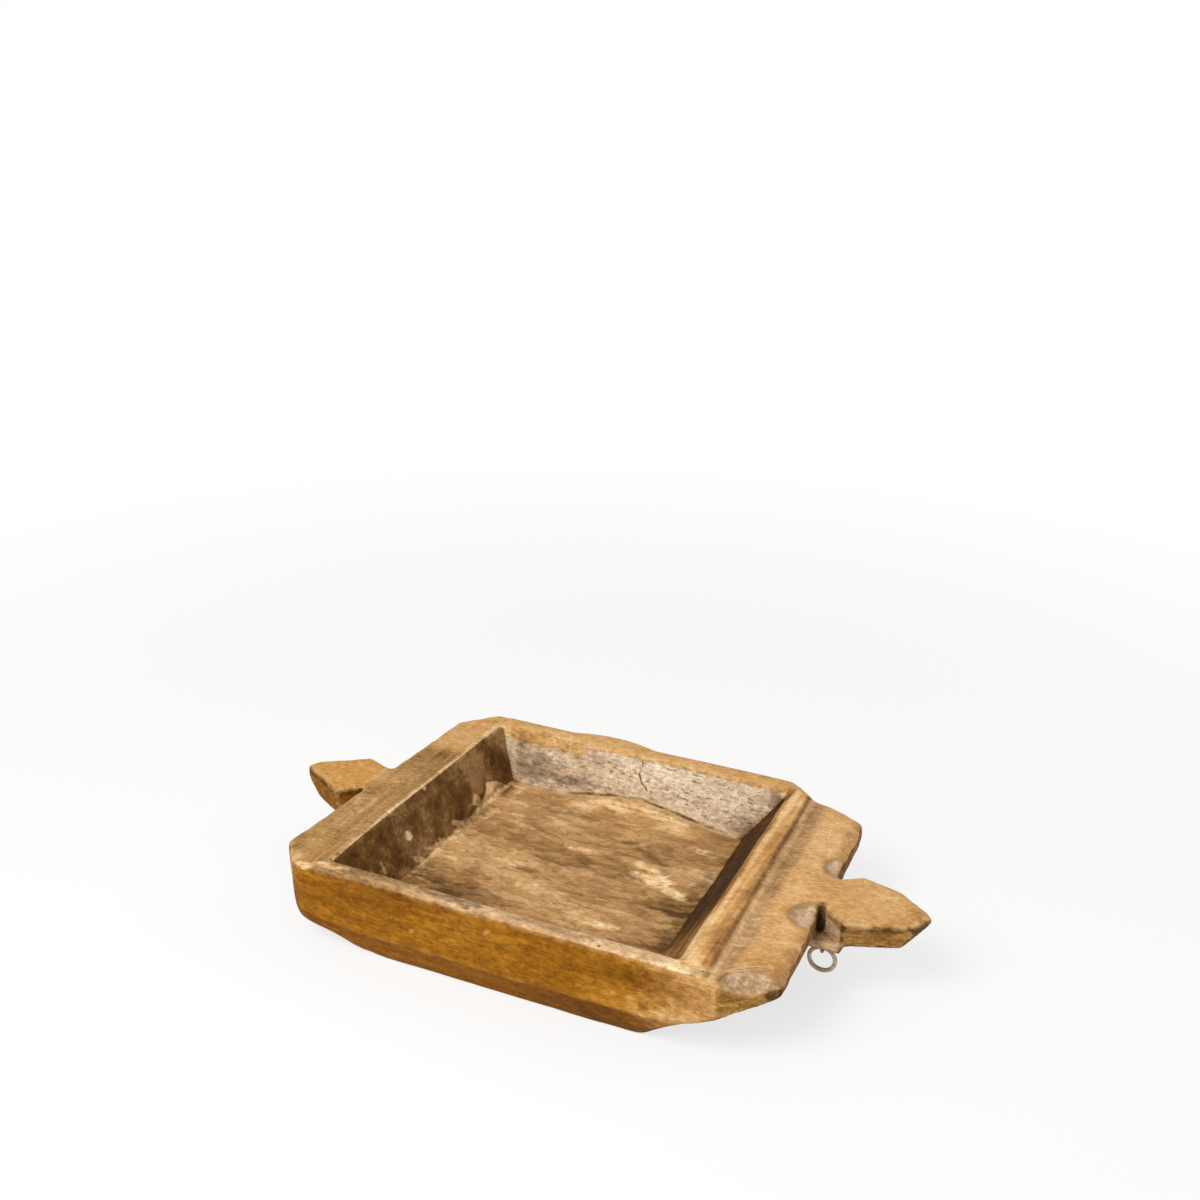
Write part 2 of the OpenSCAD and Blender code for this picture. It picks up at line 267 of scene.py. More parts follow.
class Bench:
    """Builds the nodes of one material, or of the surround."""

    def __init__(self, owner: bpy.types.Material | bpy.types.World) -> None:
        """Empties the owner's node tree."""
        owner.use_nodes = True
        self.owner = owner
        self.tree = owner.node_tree
        self.tree.nodes.clear()

    @cached_property
    def where(self) -> Socket:
        """The place in the object's own space."""
        return self.node("TexCoord").outputs["Object"]

    def node(self, kind: str, inputs: dict[str | int, object] | None = None,
             **settings: object) -> bpy.types.Node:
        """Adds a node.

        Args:
            kind: The end of its type's name.
            inputs: An output or a value for each input, by name or number.
            settings: The node's options.

        Returns:
            The node.
        """
        made = self.tree.nodes.new(f"ShaderNode{kind}")
        for key, value in settings.items():
            setattr(made, key, value)
        for key, value in (inputs or {}).items():
            if isinstance(value, Socket):
                self.tree.links.new(value, made.inputs[key])
            else:
                made.inputs[key].default_value = value
        return made

    def calc(self, kind: str, *values: object, clamp: bool = False) -> Socket:
        """One step of arithmetic on numbers or outputs, kept from 0 to 1 where clamp is set."""
        return self.node("Math", dict(enumerate(values)), operation=kind, use_clamp=clamp).outputs[0]

    def times(self, a: object, b: object) -> Socket:
        """The product of two values."""
        return self.calc("MULTIPLY", a, b)

    def weigh(self, *pairs: tuple[object, object]) -> Socket:
        """Sums several values, each times its weight."""
        total = self.times(*pairs[0])
        for value, weight in pairs[1:]:
            total = self.calc("MULTIPLY_ADD", value, weight, total)
        return total

    def vector(self, kind: str, a: object, b: object) -> bpy.types.Node:
        """One step of vector arithmetic, as its node; SCALE takes a number for its second value."""
        return self.node("VectorMath", {0: a, "Scale" if kind == "SCALE" else 1: b}, operation=kind)

    def remap(self, value: object, low: float, high: float, *to: float, **settings: object) -> Socket:
        """Stretches a range of values onto another and holds the ends.

        Args:
            value: The output to stretch.
            low: Value that becomes the new lower end.
            high: Value that becomes the new upper end.
            to: The new ends, which are 0 and 1 if none are given.
            settings: The node's other options.

        Returns:
            The result's output.
        """
        to_low, to_high = to or (0.0, 1.0)
        ends = {"Value": value, "From Min": low, "From Max": high, "To Min": to_low, "To Max": to_high}
        return self.node("MapRange", ends, **settings).outputs["Result"]

    def noise(self, per_metre: Triple, detail: float, rough: float, stir: float, shift: float) -> Socket:
        """Noise in the object's own space, turned a little so that it doesn't run along the axes.

        Args:
            per_metre: Cells to the metre along X, Y and Z.
            detail: Layers of finer noise.
            rough: Height of each finer layer.
            stir: How far the pattern is stirred.
            shift: Moves the pattern, so that two noises differ.

        Returns:
            The noise, from about 0 to 1.
        """
        frame_of_noise = {
            "Vector": self.where,
            "Location": (shift, shift * 0.7, -shift),
            "Rotation": (0.0, 0.03, 0.05),
            "Scale": per_metre,
        }
        place = self.node("Mapping", frame_of_noise).outputs[0]
        form = {"Vector": place, "Scale": 1.0, "Detail": detail, "Roughness": rough, "Distortion": stir}
        return self.node("TexNoise", form).outputs[0]

    def attribute(self, name: str) -> Socket:
        """A number that the mesh carries."""
        return self.node("Attribute", attribute_name=name).outputs["Fac"]

    def ramp(self, value: object, shades: str) -> Socket:
        """Turns a value from 0 to 1 into shades that lie evenly from dark to light."""
        made = self.node("ValToRGB", {0: value})
        stops = made.color_ramp.elements
        colours = [linear(shade) for shade in shades.split()]
        while len(stops) < len(colours):
            stops.new(0.5)
        for i in range(len(colours)):
            stops[i].position = i / (len(colours) - 1)
        for stop, colour in zip(stops, colours):
            stop.color = colour
        return made.outputs[0]

    def blend(self, share: object, under: object, over: object) -> Socket:
        """Lays one colour over another, by the share of it that shows."""
        return self.node("Mix", {0: share, 6: under, 7: over}, data_type="RGBA").outputs[2]

    def rift(self, value: object, level: float, width: float) -> Socket:
        """Draws a line where a noise crosses a level: 1 on it and 0 from the width outward."""
        return self.remap(self.calc("ABSOLUTE", self.calc("SUBTRACT", value, level)), width, width * 0.2)

    def gap(self, points: tuple[Triple, ...], stir: Socket, sway: float) -> Socket:
        """Distance in metres from a bent line of straight pieces, with the place stirred first.

        Each piece's nearest point is its start plus its direction times the place's share along
        it, held from 0 to 1.

        Args:
            points: The line's corners, in millimetres.
            stir: A colour whose parts move the place.
            sway: How far it moves, in millimetres.

        Returns:
            The distance's output.
        """
        centred = self.vector("SUBTRACT", stir, (0.5, 0.5, 0.5)).outputs[0]
        moved = self.vector("SCALE", centred, sway * 2 * MM).outputs[0]
        here = self.vector("ADD", self.where, moved).outputs[0]
        least = None
        for a, b in zip(points[:-1], points[1:]):
            start = np.array(a) * MM
            run = np.array(b) * MM - start
            away = self.vector("SUBTRACT", here, tuple(start)).outputs[0]
            share = self.vector("DOT_PRODUCT", away, tuple(run / run.dot(run))).outputs["Value"]
            held = self.calc("MULTIPLY", share, 1.0, clamp=True)
            foot = self.vector("SCALE", tuple(run), held).outputs[0]
            far = self.vector("DISTANCE", away, foot).outputs["Value"]
            least = far if least is None else self.calc("MINIMUM", least, far)
        return least

    def surface(self, colour: Socket, rough: Socket, height: Socket, depth: float,
                constants: dict[str, float]) -> bpy.types.Material:
        """Ends the material in one shader.

        Args:
            colour: The base colour.
            rough: The roughness.
            height: The bump's height, from 0 to 1.
            depth: The bump's depth, in millimetres.
            constants: Numbers for the shader's other inputs.

        Returns:
            The material.
        """
        bump = self.node("Bump", {"Distance": depth * MM, "Height": height}).outputs[0]
        inputs = {"Base Color": colour, "Roughness": rough, "Normal": bump, **constants}
        return self.end(self.node("BsdfPrincipled", inputs))

    def end(self, shader: bpy.types.Node) -> bpy.types.Material | bpy.types.World:
        """Ends the tree in a shader, and gives its owner."""
        kind = "World" if isinstance(self.owner, bpy.types.World) else "Material"
        self.node(f"Output{kind}", {"Surface": shader.outputs[0]})
        return self.owner


# ---- The wood's finish


class Grain(Enum):
    """How a zone of the wood varies: its noises' weights, and the ends that their sum is stretched from."""

    LONG = ((("streak", 0.45), ("fibre", 0.35), ("blot", 0.2)), 0.36, 0.64)
    BLOTS = ((("blot", 0.45), ("streak", 0.2), ("mottle", 0.25), ("chip", 0.1)), 0.36, 0.64)
    SPECKS = ((("speck", 0.3), ("chip", 0.35), ("mottle", 0.35)), 0.38, 0.62)
    ACROSS = ((("across", 0.5), ("chip", 0.25), ("mottle", 0.25)), 0.3, 0.7)
    FLAKES = ((("torn", 0.08), ("torn_fine", 0.05), ("cloud", 0.36), ("blot", 0.21), ("streak", 0.08),
               ("chip", 0.1), ("mottle", 0.12)), 0.28, 0.72)
    DRAWN = ((("across", 0.3), ("cloud", 0.25), ("mottle", 0.25), ("speck", 0.2)), 0.36, 0.64)
    OILED = ((("cloud", 0.42), ("streak", 0.2), ("fibre", 0.14), ("mottle", 0.16),
              ("chip", 0.08)), 0.34, 0.66)
    SOFT = ((("cloud", 0.2), ("blot", 0.22), ("streak", 0.14), ("chip", 0.14), ("mottle", 0.16),
             ("speck", 0.14)), 0.36, 0.64)


@dataclass(frozen=True)
class Zone:
    """One zone of the wood's surface.

    Its mask is an attribute of the mesh, its shades run from dark to light, and its edge strays
    by the ragged share.
    """

    mask: str
    grain: Grain
    shades: str
    ragged: float = 0.3


@dataclass(frozen=True)
class CarvedWoodFinish:
    """The bowl's wood: oiled and golden outside, bare and pale on cut edges, dark in its left wall.

    Attributes:
        noises: Each noise's cells to the metre, layers, roughness, stirring and shift.
        outside: The zone under all the others.
        zones: The zones, each laid over those before it.
        relief: Depth of the bump, in millimetres.
        shine: How strongly the surface reflects.
    """

    noises: tuple[tuple[str, Triple, float, float, float, float], ...] = (
        ("fibre", (46, 430, 430), 3, 0.65, 0.0, 0),
        ("cloud", (6, 15, 15), 5, 0.58, 0.5, 51),
        ("streak", (7, 85, 85), 5, 0.62, 0.4, 3),
        ("blot", (17, 30, 30), 5, 0.62, 0.3, 7),
        ("flake", (15, 44, 44), 8, 0.66, 1.6, 23),
        ("chip", (34, 84, 84), 7, 0.68, 1.3, 31),
        ("across", (190, 10, 90), 5, 0.65, 0.5, 29),
        ("mottle", (95, 130, 130), 5, 0.66, 0.3, 11),
        ("speck", (210, 420, 420), 3, 0.7, 0.0, 17),
        ("flecks", (150, 420, 420), 3, 0.6, 0.3, 41),
    )
    outside: Zone = Zone("", Grain.OILED, "5f3805 7a4a08 905d10 a87424 c08f48")
    zones: tuple[Zone, ...] = (
        Zone("lower", Grain.OILED, "5a3502 744603 885307 9f6a1c", 0.4),
        Zone("front_pale", Grain.OILED, "7d5426 a0713a b98a50 cfa571", 0.6),
        Zone("end_grain", Grain.SPECKS, "452a10 70491f 94693a b58d57", 0.3),
        Zone("corner_face", Grain.LONG, "573812 77521f 916832 b0864b", 0.7),
        Zone("top", Grain.SOFT, "b07f49 c3935a cd9f68 d8ae79 e6c496", 0.2),
        Zone("greyed", Grain.DRAWN, "8e6b45 aa8459 c09a6e d3b187", 0.6),
        Zone("dull", Grain.DRAWN, "73542f 94703f ab8455 c8a26f", 0.6),
        Zone("left_lug", Grain.SOFT, "a06c34 ba8646 c99856 e0ba7c", 0.3),
        Zone("lip", Grain.SPECKS, "a07a4a cba471 e0c090 f0d8b0", 0.7),
        Zone("rim", Grain.SOFT, "765634 a17c50 ba956b d2b18a ecd3ad", 0.2),
        Zone("rim_back", Grain.SOFT, "a0733e c09257 d2a76e e6c68f", 0.2),
        Zone("bead", Grain.ACROSS, "7c4f24 a67540 c8965a e4be8a", 0.2),
        # The grooves' dark is painted shade.
        Zone("groove", Grain.SPECKS, "5b3d1f 7c5931 9c7747", 0.6),
        Zone("scoop", Grain.DRAWN, "9f7f5e bd9d7c cfb090 e0c8a8", 0.15),
        Zone("ledge", Grain.SOFT, "6b4b2a 94724c b2926d c9ae8c", 0.2),
        Zone("wall_front", Grain.BLOTS, "4c3419 64482a 7d5f3c", 0.2),
        Zone("wall_left", Grain.BLOTS, "38210b 4c2f13 5f3f1d 755229 97744a", 0.2),
        Zone("wall_right", Grain.ACROSS, "33200a 583a18 7a5527 a27e4a", 0.2),
        # The back wall's pale shades are its wood's colour with a painted sheen.
        Zone("wall_back", Grain.SOFT, "8d7254 b3997c cfb699 e2cdb2 f4e5cf", 0.15),
        Zone("floor", Grain.FLAKES, "684a26 976f42 b68b5a cba16d e8c592", 0.25),
    )
    flake_shades: str = "c68f50 e8bd82 fde3b4"
    rubbed_shades: str = "b58b55 d9bb8d"
    rift_shade: str = "44300f"
    dirt_and_painted_shade: str = "4b3318"
    # The dirt and painted shade in the hollows.
    stain_and_shadow_shade: str = "3a2411"
    # The stains, and the painted shadow in the notch.
    fleck_shade: str = "4a321b"
    crack_shade: str = "2f1c0c"
    # The painted highlight on the cracks' lips.
    lip_highlight_shade: str = "ecca98"
    relief: float = 1.4
    shine: float = 0.1


@dataclass
class Patch:
    """A stain or flake: an ellipsoid on the surface with a ragged edge.

    Attributes:
        at: Its middle, in millimetres.
        size: Its half lengths along its own length, across it and in depth.
        turn: Turn of its length about the vertical, in degrees.
        strength: How strong it is, from 0 to 1.
        ragged: How far its edge strays, as a share of its size.
    """

    at: Triple
    size: Triple
    turn: float
    strength: float
    ragged: float

    def share(self, points: np.ndarray) -> np.ndarray:
        """How strongly the patch lies on each point.

        The distance from the middle in half lengths, moved by noise, falls from 1 inside to 0 at
        a quarter beyond the edge.

        Args:
            points: Places, in millimetres.

        Returns:
            One number from 0 to 1 for each point.
        """
        a = np.radians(self.turn)
        x, y, z = (points - np.array(self.at)).T
        along = x * np.cos(a) + y * np.sin(a)
        across = y * np.cos(a) - x * np.sin(a)
        far = np.sqrt(sum((way / half) ** 2 for way, half in zip((along, across, z), self.size)))
        near = far < 2.5
        share = np.zeros(len(points))
        stray = rough_noise(points[near], (11.0, 6.0, 6.0), 91) * self.ragged
        share[near] = self.strength * step(1.12, 0.86, far[near] + stray)
        return share


# Height of the hollow's floor, and how deep its patches reach.
FLOOR_Z = 29
PATCH_DEPTH = 6

# Patches on the floor: X, Y, half length, half width, turn, strength and raggedness.
PALE_ON_FLOOR = (
    (49, 14, 25, 9, -24, 1.0, 0.75),
    (38, 28, 17, 5, -16, 0.95, 0.7),
    (62, 3, 13, 5, -14, 0.95, 0.7),
    (54, 40, 5, 3, 50, 0.8, 0.5),
    (-33, 31.5, 16, 3.6, 0, 0.85, 0.5),
    (-50, -37, 11, 2.0, 20, 0.7, 0.4),
    (-40, -45, 8, 1.8, -30, 0.8, 0.4),
    (-58, -40, 2.0, 6, 0, 0.6, 0.4),
    (-46, -41, 9, 7, 0, 0.3, 0.3),
    (26, -63, 20, 4.5, 4, 0.85, 0.6),
    (64, 75, 15, 2.6, -12, 1.0, 0.5),
    (-97, 47, 17, 3.0, -6, 0.7, 0.7),
    (-104, 60, 12, 2.2, 10, 0.6, 0.7),
    (-70, -9, 14, 4, 4, 0.45, 1.1),
    (-29, -9.5, 6, 1.6, 6, 0.7, 0.4),
    (60, -84, 13, 2.6, 0, 0.5, 0.5),
    (84, 44, 2.0, 7, 20, 0.5, 0.3),
)
DARK_ON_FLOOR = (
    (-40, 8, 34, 5, 4, 0.4, 0.8),
    (-66, -18, 15, 3, 4, 0.45, 0.9),
    (12, 8, 20, 8, 4, 0.35, 0.8),
    (32, 62, 16, 13, -40, 0.35, 0.9),
    (82, 22, 7, 20, 0, 0.45, 0.7),
    (75, -22, 19, 4.5, 0, 0.85, 0.8),
    (28, 47, 22, 3.0, -30, 0.6, 0.9),
    (6, 62, 16, 2.6, 14, 0.5, 0.9),
    (-12, -32, 14, 2.4, 6, 0.5, 0.9),
    (66, -12, 10, 3, -10, 0.6, 0.8),
    (-88, -70, 36, 12, 0, 0.4, 0.8),
    (-60, 82, 34, 4, 3, 0.45, 0.9),
)

# Patches elsewhere: X, Y, Z, half length, half width, half depth, turn, strength and raggedness.
PALE_ELSEWHERE = (
    (-80, 118, 31, 16, 2.4, 4, 0, 0.7, 0.6),
    (-156, -90, 47, 4, 2.2, 8, 0, 0.7, 0.5),
    (-157, -47, 53, 4, 4, 5, 0, 0.8, 0.3),
    (-146, 51, 40, 4, 7, 6, 10, 0.65, 0.6),
    (-166, -2, 75, 2.4, 3.5, 2.4, 0, 0.6, 0.3),
    (-189, -151, 76, 8, 3, 4, 0, 0.75, 1.0),
    (-170, -148, 77, 14, 2.4, 4, 0, 0.6, 1.0),
    (-201, -144, 76, 3, 5, 4, 30, 0.5, 0.8),
    (-207, -149, 66, 6, 5, 13, 0, 0.45, 0.3),
    (136, -146, 77, 16, 6, 4, 20, 0.6, 0.5),
    (201, -136, 73, 2.2, 2.2, 2.2, 0, 1.0, 0.2),
    (-91.5, -154, 43.5, 3, 5, 1.6, 0, 0.3, 0.4),
    (-25, -154, 62.6, 2.6, 5, 2.0, 0, 0.3, 0.4),
)
DARK_ELSEWHERE = (
    (88, -60, 31, 10, 16, 8, 20, 0.5, 0.7),
    (-141, 30, 36, 3.5, 26, 7, 4, 0.6, 0.9),
    (-138, -60, 38, 4, 20, 8, 0, 0.5, 0.8),
    (-118, 118, 50, 24, 8, 16, 0, 0.45, 0.6),
    (-80, 120, 40, 30, 6, 7, 0, 0.5, 0.7),
    (199, -135, 66, 8, 9, 6, 0, 0.9, 0.3),
    # Painted shadow in the notch's cleft under the right lug's neck.
    (199, -29, 66, 4.5, 7, 16, 0, 1.0, 0.2),
    (-61, -146, 77, 26, 5, 4, 0, 0.55, 0.7),
    (30, -148, 77, 30, 3, 4, 0, 0.4, 0.7),
    (144, 62, 77, 3, 22, 5, 0, 0.4, 0.8),
    (144, -30, 77, 3, 26, 5, 0, 0.35, 0.8),
)

# The fine checks and cuts: each one's corners, its width and how dark it is.
CRACKS = (
    (((-17, 129, 74), (-16, 126, 68), (-18, 124, 61)), 0.8, 0.7),
    (((-18, 124, 61), (-15, 122, 56), (-9, 120, 49)), 1.4, 0.85),
    (((-96, 112, 28), (-67, 116, 33.8), (-43, 118, 37.3), (-14, 119, 40), (6, 118, 37.4)), 2.2, 0.85),
    (((6, 118, 37.4), (26, 117, 34.8), (53, 115, 31.2), (80, 113, 28.6)), 2.4, 0.9),
    (((159, -94, 76), (175, -90, 76), (190, -88, 75)), 1.1, 0.5),
    (((154, -104, 76), (163, -102, 76)), 0.9, 0.4),
    (((162, -137, 76), (176, -127, 76), (190, -120, 75)), 1.1, 0.5),
    (((157, -66, 76), (169, -64, 76)), 0.8, 0.4),
    (((-196, -148, 78), (-199, -138, 78), (-204, -131, 78)), 0.9, 0.6),
    (((-43.5, 151, 78), (-43.5, 156, 72)), 1.6, 0.9),
    (((84, 36, 29), (90, 30, 29), (89, 22, 29)), 0.9, 0.7),
)

# The bowl's faces and zones, as products that Survey.share reads.
SHARES = {
    "outside": "-inside",
    "steep": "nz 0.6 0.4",
    "top": "nz 0.55 0.85, z 66 70, outside",
    "level": "inside, nz 0.8 0.95",
    "left": "inside, nx 0.4 0.7",
    "right": "inside, nx -0.35 -0.65",
    "back": "inside, ny -0.4 -0.7",
    "front": "outside, ny -0.5 -0.8, nz -0.35 -0.15",
    "under": "outside, nz -0.15 -0.4",
    "front_top": "outside, z 72 76, y -120 -136",
    "above": "crack -1.2 1.2",
    "ramp": "inside, nx 0.35 0.6, ramp_edge 1.2 -0.8",
    "crest": "z 74.2 75.6, nz 0.25 0.6, x -184 -178, x 153 148",
    "front_crest": "crest, y -137.5 -139.5",
    "back_crest": "crest, y 127.5 129.5, -bead",
    "root": "z 46 48, z 60 57, x 186 190, x 224 221, y -21 -24, y -60 -50",
    "notch": "outside, steep, x 203 205, x 221 217, y -16 -20, y -62 -56, z 50 54",
    "lower": "outside, nz -0.04 -0.34",
    "left_lug": "top, end_l -3 -8",
    "lip": "z 71 74, lip_line -4.6 -2.6, edge_l 3 1, y -146 -140, y 136 131",
    "corner_face": "outside, corner 0.96 0.985, x 157 160",
    "rim": "front_crest, -bead",
    "bead": "z 66 71.5, edge_r -13 -8, groove_r 1 -2, y -146 -140, y 134 129",
    "wall_front": "inside, ny 0.4 0.7",
    "wall_left": "left, z 77.2 75.5, -ramp",
    "wall_right": "right, z 75 68",
    "wall_back": "back, above, -golden",
}

# How the wood is lighter or darker than its zone's middle shade: weights and the shares they go with.
# Some rows are painted shade, painted shadow or painted highlight, as marked.
TINTS = (
    # Painted shade on the downward-facing under facet.
    (-0.14, "under, x -60 60"),
    (-0.10, "front"),
    (0.13, "front, x -150 150"),
    (-0.16, "front, z 34 12"),
    (0.12, "front, x 20 90"),
    (0.12, "front, x 100 150"),
    # A pale line of wear and painted highlight along the front right corner's ridge.
    (0.18, "outside, y -118 -128, ny -0.4 -0.7, x ~ 160.6 1.6"),
    (-0.22, "front_top, x -50 -150"),
    (-0.10, "front_top, x ~ -10 50"),
    (0.18, "front_top, x 20 90"),
    # Painted shade at the back wall's right end.
    (-0.5, "inside, x 98 116, y 112 122, z 56 68"),
    (0.12, "back, z 46 66"),
    (-0.15, "back, x -62 -104"),
    (-0.08, "back, x -122 -140"),
    (0.22, "back, slant ~ -149 3"),
    # Painted shadow in the back wall's lower right corner.
    (-0.30, "back, x 66 112, z 64 40"),
    (-0.10, "back, z 40 30"),
    (0.46, "inside, y 90 100, x 104 84, crack ~ -5 2.8"),
    (0.22, "left, y -80 -30, y 104 70"),
    (0.42, "left, y 88 120, z 56 70"),
    (0.06, "left, y -60 -130, z 60 34"),
    (0.10, "left, y 30 44, y 104 84"),
    (0.34, "left, y 111 121, z 36 54"),
    (-0.5, "left, y 30 42, y 78 70, ramp_line ~ 2.6 1.5"),
    (-0.10, "ramp"),
    (0.24, "right, y -40 -120"),
    (0.06, "right, y 60 110"),
    (-0.36, "right, y -90 -40"),
    (-0.045, "level"),
    (0.09, "level, broad"),
    (0.10, "level, small"),
    (0.10, "level, x -96 -124, y -60 -30"),
    (-0.28, "level, y -10 -66, x -50 -104"),
    (-0.26, "level, x ~ 88 17, y ~ -62 40"),
    (-0.22, "level, y -104 -122"),
    (-0.10, "top, x 120 150"),
    (0.24, "top, x 120 150, y -150 100"),
    (-0.16, "top, x 120 150, x ~ 205 20, y ~ -2 26"),
    (-0.10, "top, x 186 214"),
    (-0.46, "top, x 246 276"),
    (-0.30, "greyed, y -70 -20"),
    # Painted highlight along the right groove's outer edge.
    (0.55, "top, broken, groove_r ~ 4 1.5"),
    (0.22, "top, broken, x 150 120, edge_l ~ -24 1.6"),
    (-0.22, "top, broken, x 150 120, edge_l ~ -20 1.6"),
    # Painted shade in the left groove.
    (-0.20, "top, broken, edge_l ~ -6.5 2.2"),
    (0.10, "bead"),
    # Painted highlight on the right bead's inner crest, and painted shade on its side by the groove.
    (0.30, "bead, broken, edge_r ~ 2 4"),
    (-0.34, "bead, broken, groove_r ~ -5 3"),
    (0.30, "bead, y 50 100"),
    (-0.12, "bead, y 70 40, y -90 -30"),
    # Painted shadow line under the lugs' top edge.
    (-0.7, "lug, steep, z ~ 72.5 2.2"),
    (-2.6, "lug, top, near_side, y -8 -20"),
    (-0.45, "lug_side, x ~ 220 1.8, y -16 -20"),
)

# The same, with a soft noise's cell and seed.
CLOUDS = (
    (0.12, "back, x -62 -104", (15.0, 60.0, 90.0), 61),
    (0.3, "back, x -122 -140", (4.0, 60.0, 90.0), 65),
    (0.09, "left", (30.0, 14.0, 14.0), 79),
    (0.6, "ramp", (5.0, 24.0, 3.6), 83),
    (0.08, "level", (80.0, 44.0, 30.0), 63),
    (0.14, "top", (46.0, 30.0, 30.0), 67),
    (0.22, "bead", (40.0, 36.0, 40.0), 73),
)


# ---- The bowl


@dataclass
class Survey:
    """Each point's place, normal and distances from the carved lines, by name."""

    points: np.ndarray
    fields: dict[str, np.ndarray]

    def __getitem__(self, name: str) -> np.ndarray:
        """A field, worked out from SHARES when it is first asked for."""
        if name not in self.fields:
            self.fields[name] = self.share(SHARES[name])
        return self.fields[name]

    def share(self, parts: str) -> np.ndarray:
        """Multiplies fields together.

        Args:
            parts: Fields' names, parted by commas. A minus takes the field from 1. Two numbers
                are the values between which it rises from 0 to 1, and after a tilde they are the
                middle and the width of a bell.

        Returns:
            One number for each point.
        """
        total = np.ones(len(self.points))
        for part in parts.split(","):
            name, *numbers = part.split()
            value = 1 - self[name[1:]] if name.startswith("-") else self[name]
            if numbers and numbers[0] == "~":
                value = hump(value - float(numbers[1]), float(numbers[2]))
            elif numbers:
                value = step(float(numbers[0]), float(numbers[1]), value)
            total *= value
        return total


@dataclass
class CarvedBowl:
    """The carved bowl, its surface taken from its solid, worn at the edges and marked by the tools.

    Sizes are in millimetres in the frame of the solid.

    Attributes:
        cell: Size of the surface's cells.
        weld: Distance within which the solid's points are joined.
        shoulder_z: Height of the shoulders beside the beads.
        front_in: Y of the hollow's front edge.
        back_in: Y of its back edge.
        middle_y: Y at which the lines' X is given.
        corner_way: X and Y of the way that the front right corner's facet looks.
        lines: Each line across the bowl: its name, its X at the middle and its slope along Y.
        crack_x: X of the corners of the crack along the back wall's foot.
        crack_z: Their heights.
        ramp_y: Y of the corners of the ramp's upper edge, on the left wall's foot.
        ramp_z: Their heights.
        balls: Middle and radius of the scoops cut in the right end's shoulder.
        worn_places: Middle, reach and rounds of smoothing of the places that hands wear most.
        facets: Start and end along Y, reach and slope of the cuts along the right end's top.
        finish: The wood's zones and shades.
    """

    cell: float = 2.07
    weld: float = 0.002
    shoulder_z: float = 76.0
    front_in: float = -140.5
    back_in: float = 130.5
    middle_y: float = -5.0
    corner_way: tuple[float, float] = (0.368, -0.93)
    lines: tuple[tuple[str, float, float], ...] = (
        ("edge_l", -167.0, 0.0419),
        ("edge_r", 127.5, -0.0175),
        ("groove_l", -173.5, 0.0875),
        ("groove_r", 145.5, -0.0384),
        ("end_l", -210.1, 0.0875),
        ("end_r", 198.5, -0.0384),
    )
    crack_x: tuple[float, ...] = (-96, -67, -43, -14, 6, 26, 53, 80, 90)
    crack_z: tuple[float, ...] = (28.0, 33.8, 37.3, 40.0, 37.4, 34.8, 31.2, 28.6, 28.0)
    ramp_y: tuple[float, ...] = (24, 44, 60, 68, 73, 82, 91, 100, 112)
    ramp_z: tuple[float, ...] = (29.0, 33.0, 35.5, 38.5, 46.0, 43.5, 39.5, 32.0, 30.5)
    balls: tuple[tuple[Triple, float], ...] = (
        ((184.77, -152.32, 99.77), 34.0),
        ((196.2, -46.0, 113.08), 40.0),
        ((197.8, 30.8, 113.83), 40.0),
    )
    worn_places: tuple[tuple[Triple, float, int], ...] = (
        ((-206.0, -150.0, 12.0), 58.0, 130),
        ((129.0, -134.0, 4.0), 40.0, 50),
        ((163.0, -148.0, 12.0), 26.0, 12),
        ((-199.0, -154.0, 78.0), 12.0, 6),
        ((194.0, 108.0, 70.0), 22.0, 14),
        ((146.0, 127.0, 70.0), 16.0, 8),
        ((203.0, -137.0, 66.0), 12.0, 6),
        ((280.5, -5.0, 74.0), 9.0, 4),
        ((-280.5, -13.0, 70.0), 9.0, 4),
    )
    facets: tuple[tuple[float, float, float, float], ...] = (
        (-139.0, -112.0, 13.0, 0.55),
        (-112.0, -86.0, 8.0, 0.60),
        (-86.0, -64.0, 5.0, 0.60),
        (44.0, 66.0, 9.0, 0.55),
        (66.0, 92.0, 12.0, 0.50),
        (92.0, 112.0, 8.0, 0.60),
    )
    finish: CarvedWoodFinish = CarvedWoodFinish()
    skin: Skin = field(init=False)
    bevelled: np.ndarray = field(init=False)
    piece: bpy.types.Object = field(init=False)

    def build(self) -> bpy.types.Object:
        """Makes the bowl's surface and keeps its masks, and gives the piece without its material."""
        self.piece = self.even_copy("bowl", "carved_bowl")
        self.skin = Skin(self.piece.data)
        self.skin.smooth(2, back=0.52)
        self.wear_round()
        self.bevel_end()
        self.carve()
        self.hold_in_box()
        self.mark()
        shade_round(self.piece.data)
        return self.piece

    def even_copy(self, node: str, name: str) -> bpy.types.Object:
        """Copies a solid's merged mesh and covers it with even square cells.

        Args:
            node: The solid's name.
            name: The new piece's name.

        Returns:
            The new piece.
        """
        shell = bmesh.new()
        shell.from_mesh(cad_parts[node].data)
        bmesh.ops.remove_doubles(shell, verts=shell.verts, dist=self.weld * MM)
        mesh = bpy.data.meshes.new(name)
        shell.to_mesh(mesh)
        shell.free()
        piece = added(name, mesh)
        cells = piece.modifiers.new("cells", "REMESH")
        cells.mode = "VOXEL"
        cells.voxel_size = self.cell * MM
        seen = piece.evaluated_get(bpy.context.evaluated_depsgraph_get())
        even = bpy.data.meshes.new_from_object(seen)
        piece.modifiers.remove(cells)
        piece.data = even
        even.name = name
        return piece

